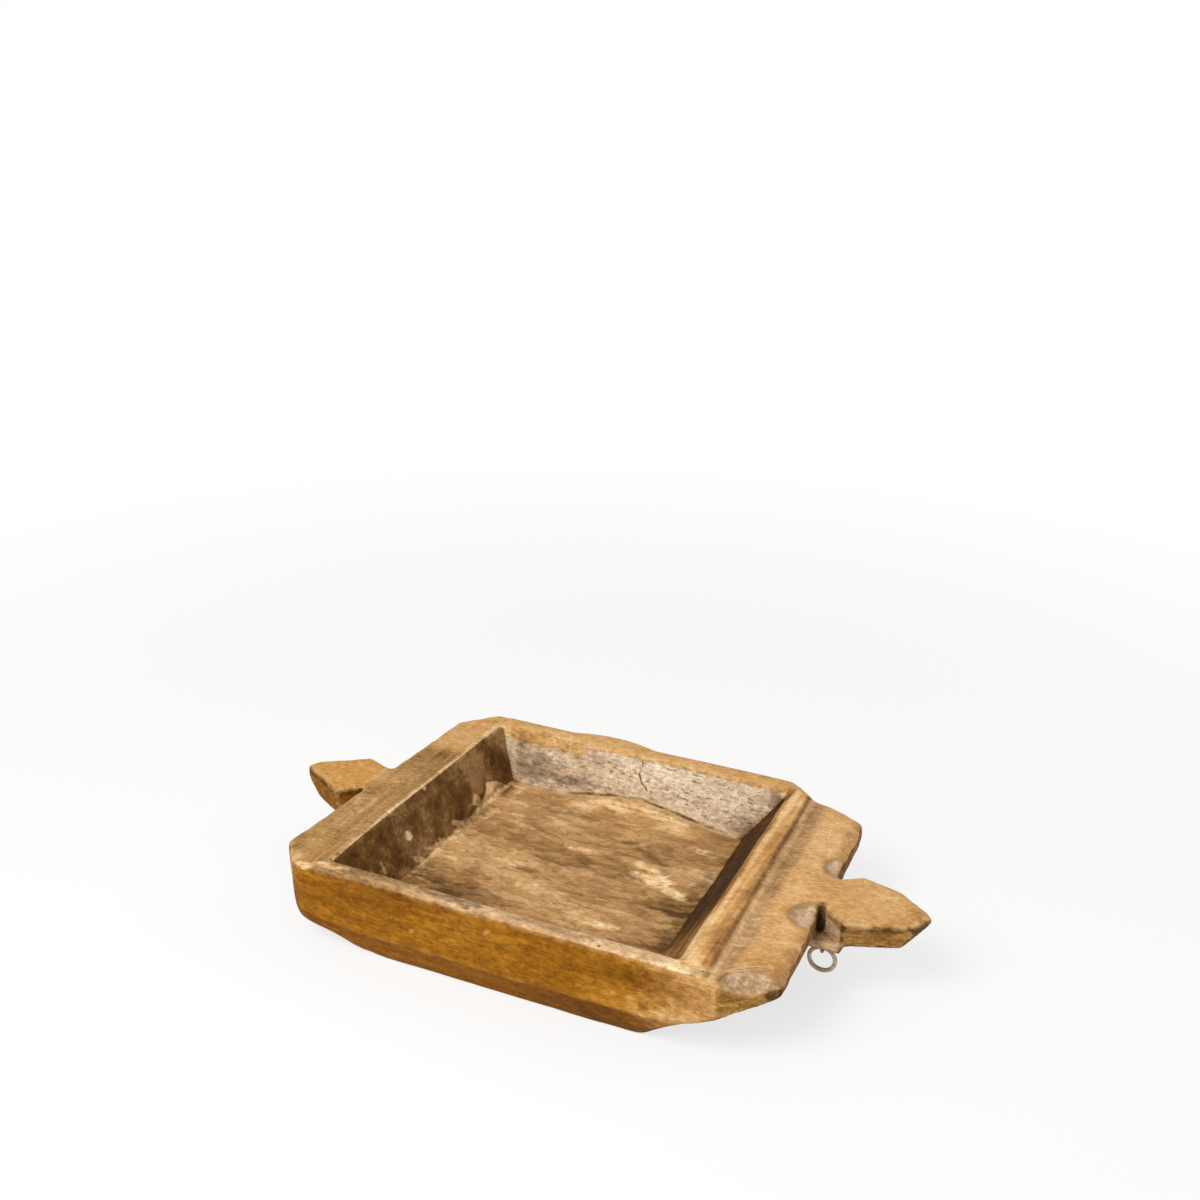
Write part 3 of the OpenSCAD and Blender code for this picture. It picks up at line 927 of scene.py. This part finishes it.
    def survey(self, normals: np.ndarray | None = None) -> Survey:
        """Measures the skin's points as they are now.

        A point is inside where it lies within the hollow's mouth and above its floor. The ramp's
        edge strays by noise, and the thin layers of the floor stand where a noise is above a level.

        Args:
            normals: The points' normals, where the faces are asked for.

        Returns:
            The points' fields.
        """
        p = self.skin.points
        x, y, z = p.T
        at = {"x": x, "y": y, "z": z}
        for name, start, slope in self.lines:
            at[name] = x - (start + slope * (y - self.middle_y))
        mouth = np.min([at["edge_l"], -at["edge_r"], y - self.front_in, self.back_in - y], axis=0)
        at["inside"] = step(-2.6, -0.6, mouth) * step(20.0, 24.0, z)
        if normals is not None:
            at["nx"], at["ny"], at["nz"] = normals.T
            at["corner"] = self.corner_way[0] * at["nx"] + self.corner_way[1] * at["ny"]
            at["lip_line"] = at["edge_l"] + 0.02 * y
            at["slant"] = x + 0.5 * (z - 56.0)
            at["crack"] = z - np.interp(x, self.crack_x, self.crack_z)
            at["ramp_line"] = z - np.interp(y, self.ramp_y, self.ramp_z)
            at["ramp_edge"] = at["ramp_line"] - 1.3 * rough_noise(p, (9.0, 7.0, 7.0), 77)
            at["broad"] = step(-0.03, 0.04, rough_noise(p, (66.0, 24.0, 60.0), 33, 4))
            at["small"] = step(0.10, 0.16, rough_noise(p, (36.0, 13.0, 60.0), 35, 4))
        return Survey(p, at)

    def wear_round(self) -> None:
        """Rounds the places that hands wear most.

        A place's weight falls from 1 near its middle to 0 at its reach, and each round moves a
        point by half its weight toward its neighbours' mean. The right bead's inner edge is such
        a place along its whole length, and the left bead sinks into the shoulder at its middle.
        """
        skin = self.skin
        for middle, reach, rounds in self.worn_places:
            far = np.linalg.norm(skin.points - np.array(middle), axis=1)
            skin.smooth(rounds, 0.5 * step(reach, 0.45 * reach, far))
        at = self.survey()
        along = at.share("z 56 66, y -150 -138, y 140 130") * step(13.0, 7.0, np.abs(at["edge_r"] + 0.5))
        skin.smooth(16, 0.5 * along)
        at = self.survey()
        skin.smooth(3, 0.5 * step(8.0, 4.0, np.abs(at["groove_r"])) * at.share("z 64 70"))
        at = self.survey()
        worn = at.share("y ~ 22 62, z 66 72") * step(14.0, 7.0, np.abs(at["edge_l"] + 4.0))
        skin.points[:, 2] -= 1.7 * worn * at.share("z 75.6 77.6")
        skin.points[:, 0] -= 2.6 * worn * at.share("edge_l -7 -1")

    def bevel_end(self) -> None:
        """Cuts the small facets along the top of the right end.

        Each facet is a plane that falls from its start line by its slope times the way beyond
        it, and a point under the rim that stands above the plane is brought down to it.
        """
        p = self.skin.points
        x, y, z = p.T
        past_end = self.survey()["end_r"]
        self.bevelled = np.zeros(len(p))
        for start, stop, reach, slope in self.facets:
            bow = 3.5 * ((y - 0.5 * (start + stop)) / (0.5 * (stop - start))) ** 2
            beyond = past_end + reach - bow
            plane = self.shoulder_z + 0.3 - slope * beyond
            cut = (y > start) & (y < stop) & (beyond > 0) & (z > plane) & (past_end < 6.0)
            p[cut, 2] = plane[cut]
            self.bevelled[cut] = 1.0

    def carve(self) -> None:
        """Works the surface as the tools and years did.

        Every point moves along its normal by the sum of: long waves of 0.5 mm along the grain,
        gouge furrows of 0.22 mm, bites out of sharp edges of up to 1.6 mm, the ledge and crack
        where the back wall meets the floor, the roughly cut foot of the left wall, the torn ramp
        on it, and the layers and flakes that have come off the floor.
        """
        skin = self.skin
        n = skin.normals()
        at = self.survey(n)
        p = at.points
        edge = step(0.06, 0.3, skin.blur(skin.bulge(n), 2))
        bites = step(0.18, 0.62, rough_noise(p, (17.0, 8.0, 8.0), 11))
        move = 0.5 * soft_noise(p, (110.0, 46.0, 40.0), 3)
        move += 0.22 * soft_noise(p, (46.0, 13.0, 13.0), 5)
        move += at.share("outside, z 20 6") * 0.5 * soft_noise(p, (26.0, 26.0, 26.0), 8)
        move -= edge * (0.25 + 1.35 * bites)
        near_back = at.share("inside, y 92 104, x -100 -88, x 96 84")
        move += near_back * (1.7 * at.share("crack ~ -4.2 3.4") - 1.5 * at.share("crack ~ 0 1.5"))
        move += at.share("inside, x -108 -136, z 41 33") * 0.9 * rough_noise(p, (14.0, 9.0, 9.0), 21)
        move += 1.6 * at["ramp"]
        waves = 0.7 * soft_noise(p, (70.0, 24.0, 30.0), 31) + 0.2 * rough_noise(p, (24.0, 7.0, 9.0), 33)
        layers = 0.5 * at["broad"] + 0.45 * at["small"]
        move += at["level"] * (waves + layers - 0.8 * self.laid(self.pale_patches(), p))
        move += at.share("inside, -level") * 0.35 * rough_noise(p, (30.0, 16.0, 12.0), 37)
        skin.points = p + n * move[:, None]
        skin.smooth(1, np.clip(0.1 + 0.5 * edge, 0.0, 0.6))

    def hold_in_box(self) -> None:
        """Keeps every point inside the box of the solid."""
        low, high = (np.array(corner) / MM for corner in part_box("bowl"))
        self.skin.points = np.clip(self.skin.points, low, high)

    def mark(self) -> None:
        """Keeps the masks of the zones, the stains and the pale flakes as attributes."""
        skin = self.skin
        n = skin.normals()
        at = self.survey(n)
        p = at.points
        at.fields.update(self.zone_fields(at))
        masks = {zone.mask: at[zone.mask] for zone in self.finish.zones}
        masks["flaky"] = self.flaky_share(at)
        masks["fleck"] = np.maximum(at.share("back, above, x -120 -60"), 0.6 * at["front_crest"])
        masks["grit"] = 1.0 - 0.4 * at["top"] - 0.5 * at["level"]
        masks["light"] = self.light_share(at) + self.scoop_light(at)
        for name, values in masks.items():
            skin.attach(name, skin.blur(values, 1))
        bulge = skin.bulge(n)
        skin.attach("edge_wear", step(0.03, 0.22, skin.blur(bulge, 1)))
        # Dirt and painted shade in the hollows: darker where a point lies below its neighbours.
        skin.attach("hollow_dirt_and_shade", step(0.03, 0.25, skin.blur(-bulge, 1)))
        skin.attach("pale", self.laid(self.pale_patches(), p))
        skin.attach("dark", self.laid(self.dark_patches(), p))

    def zone_fields(self, at: Survey) -> dict[str, np.ndarray]:
        """Works out the fields that aren't plain products.

        Args:
            at: The points' fields.

        Returns:
            The new fields by name.
        """
        p = at.points
        x, y, z = p.T
        fade = 6.0 * soft_noise(p, (24.0, 24.0, 24.0), 47)
        golden = 0.85 * at["back"] * step(-46.0, -84.0, x + fade) * step(56.0, 74.0, z + fade)
        golden = np.maximum(golden, at.share("back, z 72 76"))
        # The grooves: painted shade, strongest in the right one.
        groove = 0.72 * step(4.0, 0.5, np.abs(at["groove_r"] + 0.5))
        groove = np.maximum(groove, 0.45 * step(2.8, 0.3, np.abs(at["groove_l"])))
        balls = np.max([step(1.2, 0.4, self.off_ball(p, *ball)) for ball in self.balls], axis=0)
        scoop = at.share("outside, nz 0.35 0.5, x 150 154") * balls
        lug = np.maximum(at.share("end_r 3 6"), at.share("end_l -3 -6"))
        lug_side = lug * at["steep"] * np.where(x > 0, 1.0, 0.42)
        end_face = at.share("outside, steep, x 150 170") * step(0.55, 0.8, np.abs(at["nx"]))
        grey = step(17.0, 3.0, np.abs(at["groove_r"] - 8))
        grey *= 0.85 + 0.4 * soft_noise(p, (26.0, 26.0, 30.0), 41)
        dull = step(32.0, 24.0, np.abs(at["groove_l"] + 16))
        dull *= 0.75 + 0.5 * soft_noise(p, (20.0, 44.0, 30.0), 43)
        under_crack = np.maximum(at.share("nz 0.8 0.95"), at.share("y 98 102, -above"))
        return {
            "golden": golden,
            "lug": lug,
            "lug_side": lug_side,
            "near_side": self.skin.blur(lug_side, 3),
            "broken": 0.6 + 0.5 * soft_noise(p, (30.0, 16.0, 30.0), 71),
            "front_pale": 0.75 * at.share("outside, ny -0.5 -0.8, x 40 160"),
            "end_grain": np.maximum(end_face, lug_side),
            "greyed": at["top"] * grey,
            "dull": at.share("top, y 100 40") * dull,
            "ledge": np.maximum(at["root"], at["notch"]),
            "rim_back": np.maximum(at["back_crest"], golden),
            "groove": at.share("z 60 70, nz 0.3 0.6") * groove,
            "scoop": np.maximum(scoop, 0.42 * self.bevelled * at.share("outside, nz 0.3 0.5")),
            "floor": np.maximum(at["ramp"], at.share("inside, z 46 40") * under_crack),
        }

    @staticmethod
    def flaky_share(at: Survey) -> np.ndarray:
        """How much of the torn, flaky relief each point has: most on the floor, little outside."""
        everywhere = np.full(len(at.points), 0.06)
        most = [0.45 * at.share("inside, nz 0.7 0.95"), 0.35 * at["left"], 0.15 * at["inside"], everywhere]
        return np.max(most, axis=0) - 0.03 * at["top"]

    @staticmethod
    def light_share(at: Survey) -> np.ndarray:
        """How far the wood is darker (below 0.5) or lighter (above 0.5) than its zone's middle shade.

        It is the sum of the tints and clouds. The front darkens toward its foot and its left
        end, the back wall is browner in its left third, painted shade darkens the under facet,
        painted shadow darkens the back wall's right end and lower right corner, the left wall and
        the floor lighten toward the back, lines of painted highlight and shade follow the beads
        and grooves, a pale line of wear and painted highlight runs down the front right corner's
        ridge, and a painted shadow line runs under the lugs' top edge.

        Args:
            at: The points' fields.

        Returns:
            One number for each point.
        """
        light = np.full(len(at.points), 0.5)
        for weight, parts in TINTS:
            light += weight * at.share(parts)
        for weight, parts, cell, seed in CLOUDS:
            light += weight * at.share(parts) * soft_noise(at.points, cell, seed)
        return light

    def scoop_light(self, at: Survey) -> np.ndarray:
        """What the scoops add to the light.

        Each has a painted shaded outline and a painted shadow line round its rim, fine rings that
        are sines of the distance from its middle, and painted shading that rises slowly across it.

        Args:
            at: The points' fields.

        Returns:
            One number for each point.
        """
        scoop, top = at["scoop"], at["top"]
        around = self.skin.blur(scoop, 2)
        # Painted shade along each scoop's outline.
        light = -1.6 * around * (1 - around)
        for middle, radius in self.balls:
            x = at["x"] - middle[0]
            y = at["y"] - middle[1]
            far = np.hypot(x, y)
            rim = np.sqrt(radius ** 2 - (middle[2] - self.shoulder_z) ** 2)
            # Painted shadow line round the scoop's rim.
            light -= 0.45 * top * hump(far - rim - 0.6, 1.5)
            light += 0.05 * scoop * np.sin(np.hypot(x - 4.0, y * 1.4) / 1.1)
            # Painted shading that rises slowly across the scoop.
            light += scoop * hump(far, 26.0) * np.clip((x * 0.6 - y * 0.3) / 40.0, -0.25, 0.25)
        return light

    @staticmethod
    def off_ball(p: np.ndarray, middle: Triple, radius: float) -> np.ndarray:
        """How far each point lies from a ball's surface, as a cut by that ball leaves it at nought."""
        return np.abs(np.linalg.norm(p - np.array(middle), axis=1) - radius)

    @staticmethod
    def laid(patches: list[Patch], points: np.ndarray) -> np.ndarray:
        """The strongest of several patches at each point."""
        return np.max([patch.share(points) for patch in patches], axis=0)

    @staticmethod
    def patches(on_floor: tuple[tuple, ...], elsewhere: tuple[tuple, ...]) -> list[Patch]:
        """Makes patches of two tables' rows."""
        rows = [(x, y, FLOOR_Z, long, wide, PATCH_DEPTH, *rest) for x, y, long, wide, *rest in on_floor]
        return [Patch(row[:3], row[3:6], *row[6:]) for row in (*rows, *elsewhere)]

    @staticmethod
    def pale_patches() -> list[Patch]:
        """The bare flakes and knocks."""
        return [*CarvedBowl.patches(PALE_ON_FLOOR, PALE_ELSEWHERE), *CarvedBowl.foot_strands()]

    @staticmethod
    def dark_patches() -> list[Patch]:
        """The stains and burnt-looking places, the dark broken corner of the right end, and the painted
        shadow in the notch under the right lug's neck.
        """
        return CarvedBowl.patches(DARK_ON_FLOOR, DARK_ELSEWHERE)

    @staticmethod
    def foot_strands(count: int = 52, seed: int = 7) -> list[Patch]:
        """The torn pale strands along the foot of the left wall, strewn by a seeded draw."""
        draw = np.random.default_rng(seed)
        strands = []
        for _ in range(count):
            y = -56.0 + 170.0 * draw.random() ** 0.8
            x = -144.5 + (7.0 + 0.14 * max(y, 0.0)) * draw.random() + 0.03 * y
            size = (6.0 + 8.0 * draw.random(), 1.2 + 0.7 * draw.random(), 8)
            turn = 60 + 36 * draw.random()
            strands.append(Patch((x, y, 34), size, turn, 0.2 + 0.35 * draw.random(), 0.3))
        return strands

    def dress(self) -> None:
        """Gives the bowl its wood.

        The zones' shades are laid over one another, each picked by its grain's tone. Then come
        the fine grit, the rifts of the torn layers, the wear with painted shade in the hollows and
        the notch, the cracks with painted highlights on their lips, and the bump.
        """
        finish = self.finish
        bench = Bench(bpy.data.materials.new("carved_wood"))
        noise = {name: bench.noise(*form) for name, *form in finish.noises}
        names = ("fibre", "blot", "mottle", "chip", "speck")
        fibre, blot, mottle, chip, speck = (noise[name] for name in names)
        noise["torn"] = bench.remap(noise["flake"], 0.495, 0.525)
        noise["torn_fine"] = bench.remap(chip, 0.515, 0.55)
        lift = bench.times(bench.calc("MULTIPLY_ADD", bench.attribute("light"), 0.6, -0.3), 2.0)
        tones = {grain: self.tone(bench, noise, grain, lift) for grain in Grain}
        colour = bench.ramp(tones[finish.outside.grain], finish.outside.shades)
        stray = bench.calc("SUBTRACT", bench.weigh((blot, 0.5), (mottle, 0.5)), 0.5)
        for zone in finish.zones:
            mask = bench.calc("MULTIPLY_ADD", stray, zone.ragged * 2, bench.attribute(zone.mask))
            share = bench.remap(mask, 0.3, 0.7)
            colour = bench.blend(share, colour, bench.ramp(tones[zone.grain], zone.shades))
        fine = bench.remap(bench.weigh((mottle, 0.3), (fibre, 0.15), (speck, 0.55)), 0.36, 0.64, -0.4, 0.4)
        grit, flaky = bench.attribute("grit"), bench.attribute("flaky")
        colour = bench.vector("SCALE", colour, bench.calc("MULTIPLY_ADD", fine, grit, 1.0)).outputs[0]
        small_rift = bench.times(bench.rift(chip, 0.532, 0.012), 0.6)
        rift = bench.calc("MAXIMUM", bench.rift(noise["flake"], 0.51, 0.010), small_rift)
        rift = bench.times(rift, bench.times(flaky, bench.remap(blot, 0.48, 0.60, 0.04, 0.6)))
        colour = bench.blend(rift, colour, linear(finish.rift_shade))
        colour = self.wear(bench, colour, noise)
        colour, open_cracks = self.cracks(bench, colour)
        rough = bench.remap(bench.weigh((fibre, 0.4), (blot, 0.6)), 0.3, 0.7, 0.62, 0.88)
        scaly = bench.times(bench.weigh((noise["torn"], 0.55), (noise["torn_fine"], 0.45)), 0.62)
        finest = bench.weigh((fibre, 0.20), (speck, 0.22), (chip, 0.25))
        coarse = ((mottle, 0.45), (chip, 0.15), (open_cracks, -0.6))
        height = bench.weigh((scaly, flaky), (finest, grit), *coarse)
        wood = bench.surface(colour, rough, height, finish.relief, {"Specular IOR Level": finish.shine})
        self.piece.data.materials.clear()
        self.piece.data.materials.append(wood)

    @staticmethod
    def tone(bench: Bench, noise: dict[str, Socket], grain: Grain, lift: Socket) -> Socket:
        """Weighs a grain's noises together, stretches the sum and lifts it.

        Args:
            bench: The material's bench.
            noise: The noises by name.
            grain: Which noises count, and how much.
            lift: What is added in the end.

        Returns:
            The tone, from 0 to 1.
        """
        weights, low, high = grain.value
        total = bench.weigh(*((noise[name], weight) for name, weight in weights))
        return bench.calc("ADD", bench.remap(total, low, high), lift, clamp=True)

    def wear(self, bench: Bench, colour: Socket, noise: dict[str, Socket]) -> Socket:
        """Rubs the edges pale, darkens the corners with dirt and painted shade, lays flakes and stains, and
        paints the notch's shadow.

        Args:
            bench: The material's bench.
            colour: The zones' colour.
            noise: The noises by name.

        Returns:
            The worn colour.
        """
        finish, mottle = self.finish, noise["mottle"]
        wide = bench.remap(noise["blot"], 0.3, 0.7)
        uneven = bench.remap(bench.calc("ADD", noise["fibre"], mottle), 0.75, 1.15)
        flakes = bench.ramp(bench.remap(mottle, 0.34, 0.6), finish.flake_shades)
        coats = (
            ("pale", bench.remap(uneven, 0.0, 1.0, 0.86, 1.0), flakes),
            ("edge_wear", bench.remap(mottle, 0.38, 0.62, 0.1, 0.7), bench.ramp(wide, finish.rubbed_shades)),
            ("hollow_dirt_and_shade", bench.remap(wide, 0.0, 1.0, 0.35, 0.8), linear(finish.dirt_and_painted_shade)),
            # The dark patches: stains, and the painted shadow in the notch.
            ("dark", bench.remap(uneven, 0.0, 1.0, 1.0, 0.7), linear(finish.stain_and_shadow_shade)),
        )
        for name, strength, shade in coats:
            colour = bench.blend(bench.times(bench.attribute(name), strength), colour, shade)
        density = bench.remap(mottle, 0.3, 0.7, 0.28, 0.36)
        dense = bench.calc("MULTIPLY_ADD", bench.attribute("fleck"), 0.07, density)
        share = bench.remap(bench.calc("SUBTRACT", dense, noise["flecks"]), -0.01, 0.04)
        return bench.blend(bench.times(share, 0.7), colour, linear(finish.fleck_shade))

    def cracks(self, bench: Bench, colour: Socket) -> tuple[Socket, Socket]:
        """Draws the fine checks and cuts as stirred lines of a set width, with painted highlights on their
        lips.

        Args:
            bench: The material's bench.
            colour: The colour under them.

        Returns:
            The colour with them, and how open they are.
        """
        stir = bench.node("TexNoise", {"Vector": bench.where, "Scale": 90.0, "Detail": 3.0})
        opened = lips = 0.0
        for points, width, deep in CRACKS:
            far = bench.gap(points, stir.outputs["Color"], 2.2)
            share = bench.remap(far, width * MM, width * 0.35 * MM, 0.0, deep)
            opened = bench.calc("MAXIMUM", opened, share)
            lips = bench.calc("MAXIMUM", lips, bench.remap(far, width * 2.2 * MM, width * 1.2 * MM))
        # Painted highlight along the cracks' lips.
        colour = bench.blend(bench.times(lips, 0.42), colour, linear(self.finish.lip_highlight_shade))
        return bench.blend(opened, colour, linear(self.finish.crack_shade)), opened


# ---- The staple and the ring


@dataclass(frozen=True)
class AgedWire:
    """Dull, pale old wire with darker pits."""

    name: str
    shades: str
    metal: float

    def material(self) -> bpy.types.Material:
        """Builds the finish: pits and clouds weighed together pick the shade and the bump."""
        bench = Bench(bpy.data.materials.new(self.name))
        cloud = bench.noise((260.0, 260.0, 260.0), 4.0, 0.6, 0.0, 0.0)
        pits = bench.noise((900.0, 900.0, 900.0), 2.0, 0.6, 0.0, 5.0)
        tone = bench.remap(bench.weigh((cloud, 0.65), (pits, 0.35)), 0.36, 0.64)
        constants = {"Metallic": self.metal, "Specular IOR Level": 0.4}
        rough = bench.remap(cloud, 0.3, 0.7, 0.45, 0.7)
        return bench.surface(bench.ramp(tone, self.shades), rough, tone, 0.25, constants)


def tube(name: str, path: np.ndarray, radius: np.ndarray, side: np.ndarray, closed: bool,
         around: int) -> bpy.types.Object:
    """Carries a round section along a flat path.

    A point of the surface is the path's point plus the radius times the cosine of the section's
    angle along the path's own in-plane normal, plus the radius times its sine along the side.

    Args:
        name: The piece's name.
        path: Points of the path, in metres, all in one plane.
        radius: The section's radius at each point, in metres.
        side: The plane's normal.
        closed: Whether the path's end meets its start.
        around: Points round the section.

    Returns:
        The new piece.
    """
    ahead = np.roll(path, -1, axis=0) - np.roll(path, 1, axis=0) if closed else np.gradient(path, axis=0)
    ahead /= np.linalg.norm(ahead, axis=1, keepdims=True)
    out = np.cross(ahead, side)
    angle = np.linspace(0, 2 * np.pi, around, endpoint=False)[None, :, None]
    ring = np.cos(angle) * out[:, None, :] + np.sin(angle) * side[None, None, :]
    points = (path[:, None, :] + radius[:, None, None] * ring).reshape(-1, 3)
    rows = len(path) if closed else len(path) - 1
    i, j = np.meshgrid(np.arange(rows) * around, np.arange(around), indexing="ij")
    i2, j2 = (i + around) % len(points), (j + 1) % around
    faces = np.stack([i + j, i + j2, i2 + j2, i2 + j], axis=-1).reshape(-1, 4).tolist()
    if not closed:
        faces.append(list(range(around))[::-1])
        faces.append(list(range(len(points) - around, len(points))))
    mesh = bpy.data.meshes.new(name)
    mesh.from_pydata(points.tolist(), [], faces)
    shell = bmesh.new()
    shell.from_mesh(mesh)
    bmesh.ops.recalc_face_normals(shell, faces=shell.faces)
    shell.to_mesh(mesh)
    shell.free()
    shade_round(mesh)
    return added(name, mesh)


@dataclass
class HangingRing:
    """The bent ring, which hangs upright in its staple under the neck."""

    middle: Triple = (204.711, -36.0, 34.4)
    radius: float = 10.4
    wire: float = 1.8
    inset: float = 0.12

    def build(self) -> bpy.types.Object:
        """Makes the ring, a circle of wire, thinner at the top and hammered a little out of round."""
        a = np.linspace(0, 2 * np.pi, 96, endpoint=False)
        r = self.radius - self.inset + 0.1 * np.cos(2 * a + 0.6) + 0.05 * np.sin(5 * a)
        path = np.array(self.middle) + np.stack([r * np.cos(a), np.zeros_like(a), r * np.sin(a)], axis=1)
        thick = self.wire * (0.93 - 0.04 * np.sin(a) + 0.02 * np.sin(3 * a + 1) + 0.01 * np.sin(7 * a))
        return tube("worn_ring", path * MM, thick * MM, np.array([0.0, 1.0, 0.0]), True, 20)


@dataclass
class WireStaple:
    """The wire staple that is driven up into the root of the neck."""

    at: tuple[float, float] = (204.711, -36.0)
    bend_z: float = 45.1
    bend: float = 3.6
    top_z: float = 53.5
    wire: float = 1.2

    def build(self) -> bpy.types.Object:
        """Makes the staple: a leg down, half a circle round, and a leg up."""
        rise = np.linspace(self.top_z, self.bend_z, 10, endpoint=False)
        a = np.linspace(np.pi, 2 * np.pi, 33)
        y = np.concatenate([np.full(10, -self.bend), self.bend * np.cos(a), np.full(10, self.bend)])
        z = np.concatenate([rise, self.bend_z + self.bend * np.sin(a), rise[::-1]])
        path = np.stack([np.full_like(y, self.at[0]), self.at[1] + y, z], axis=1)
        thick = self.wire * (0.96 + 0.03 * np.sin(np.arange(len(y)) * 0.7))
        return tube("bent_staple", path * MM, thick * MM, np.array([1.0, 0.0, 0.0]), False, 16)


# ---- The studio


@dataclass(frozen=True)
class PhotoCamera:
    """The camera that took the photograph, solved from the corners of the hollow, rims and lugs."""

    at: Triple = (464.5, -1050.3, 765.4)
    right: Triple = (0.9098, 0.4146, 0.0175)
    ahead: Triple = (-0.376, 0.8415, -0.3879)
    lens: float = 48.0
    sensor: float = 36.0
    sight: float = 50.0

    def build(self) -> bpy.types.Object:
        """Sets up the camera, with its right way made square to its view."""
        ahead = unit(np.array(self.ahead))
        right = unit(np.array(self.right) - ahead * np.dot(self.right, ahead))
        data = bpy.data.cameras.new("photo_camera")
        data.lens = self.lens
        data.sensor_width = self.sensor
        data.clip_end = self.sight
        camera = placed("photo_camera", data, right, np.cross(right, ahead), -ahead, np.array(self.at) * MM)
        bpy.context.scene.camera = camera
        return camera


@dataclass(frozen=True)
class Lamp:
    """One soft square lamp, in metres and watts."""

    name: str
    at: Triple
    aim: Triple
    size: float
    power: float
    tint: Triple = (1.0, 1.0, 1.0)

    def build(self) -> bpy.types.Object:
        """Hangs the lamp, with its face turned to its aim."""
        data = bpy.data.lights.new(self.name, "AREA")
        data.size = self.size
        data.energy = self.power
        data.color = self.tint
        back = unit(np.array(self.at) - np.array(self.aim))
        right = unit(np.cross([0.0, 0.0, 1.0], back))
        return placed(self.name, data, right, np.cross(back, right), back, np.array(self.at))


@dataclass
class Studio:
    """A plain white floor, a white surround and soft lamps, in metres.

    Attributes:
        floor_half: Half the floor's side.
        floor_z: Height of the floor, a hair under the bowl's base.
        floor_colour: The floor's own colour.
        glow: Distances from the middle where the floor's glow starts to grow and is whole.
        least_glow: The glow's share before it grows.
        surround: Strength of the surround's light.
        lamps: The lamps.
    """

    floor_half: float = 4.0
    floor_z: float = -0.0004
    floor_colour: tuple[float, ...] = (0.86, 0.85, 0.84, 1.0)
    glow: tuple[float, float] = (0.45, 1.3)
    least_glow: float = 0.74
    surround: float = 0.46
    lamps: tuple[Lamp, ...] = (
        Lamp("key_lamp", (-0.35, -1.3, 1.5), (0.0, 0.0, 0.0), 0.9, 32.0, (1.0, 0.975, 0.94)),
        Lamp("side_lamp", (1.5, 0.7, 1.3), (0.0, 0.0, 0.05), 0.9, 6.0),
    )

    def build(self) -> None:
        """Lays the floor, hangs the lamps and lights the surround."""
        h, z = self.floor_half, self.floor_z
        mesh = bpy.data.meshes.new("floor")
        mesh.from_pydata([(-h, -h, z), (h, -h, z), (h, h, z), (-h, h, z)], [], [(0, 1, 2, 3)])
        floor = added("floor", mesh)
        mesh.materials.append(self.floor_finish())
        for lamp in self.lamps:
            lamp.build()
        self.light_surround()
        bpy.context.scene.view_settings.view_transform = "Standard"

    @staticmethod
    def seen(bench: Bench) -> Socket:
        """1 for a ray that comes from the camera, or by way of metal or glass."""
        path = bench.node("LightPath").outputs
        plain = bench.calc("MAXIMUM", path["Is Camera Ray"], path["Is Glossy Ray"])
        return bench.calc("MAXIMUM", plain, path["Is Transmission Ray"])

    def floor_finish(self) -> bpy.types.Material:
        """A white floor that keeps the bowl's shadow and glows to the camera, wholly so far out."""
        bench = Bench(bpy.data.materials.new("floor_white"))
        plain = bench.node("BsdfDiffuse", {"Color": self.floor_colour}).outputs[0]
        light = bench.node("Emission", {"Color": WHITE, "Strength": 1.0}).outputs[0]
        far = bench.node("VectorMath", {0: bench.where}, operation="LENGTH").outputs["Value"]
        share = bench.remap(far, *self.glow, self.least_glow, 1.0, interpolation_type="SMOOTHSTEP")
        share = bench.times(self.seen(bench), share)
        return bench.end(bench.node("MixShader", {0: share, 1: plain, 2: light}))

    def light_surround(self) -> None:
        """Makes the surround white to the camera and a plain soft light to everything else."""
        bench = Bench(bpy.data.worlds.new("surround"))
        lit, white = (
            bench.node("Background", {"Color": WHITE, "Strength": strength}).outputs[0]
            for strength in (self.surround, 1.0)
        )
        mix = bench.node("MixShader", {0: self.seen(bench), 1: lit, 2: white})
        bpy.context.scene.world = bench.end(mix)


def report(piece: bpy.types.Object) -> None:
    """Logs a piece's name and how many faces it has."""
    LOG.info("%s: %d faces", piece.name, len(piece.data.polygons))


def main() -> None:
    """Builds the studio, the bowl, the staple and the ring."""
    logging.basicConfig(level=logging.INFO, format="%(name)s: %(message)s")
    PhotoCamera().build()
    Studio().build()

    bowl = CarvedBowl()
    carved = bowl.build()
    bowl.dress()
    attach(carved, "bowl_body")
    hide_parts("bowl")
    report(carved)

    staple = WireStaple().build()
    staple.data.materials.append(AgedWire("staple_wire", "4a3c2b 7c6b55 988670", 0.5).material())
    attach(staple, "bowl_body")
    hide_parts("staple")
    report(staple)

    ring = HangingRing().build()
    ring.data.materials.append(AgedWire("ring_wire", "9b8369 bda58b d3bea5 e2d2bc", 0.05).material())
    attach(ring, "ring_body")
    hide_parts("ring")
    report(ring)


if __name__ == "__main__":
    main()
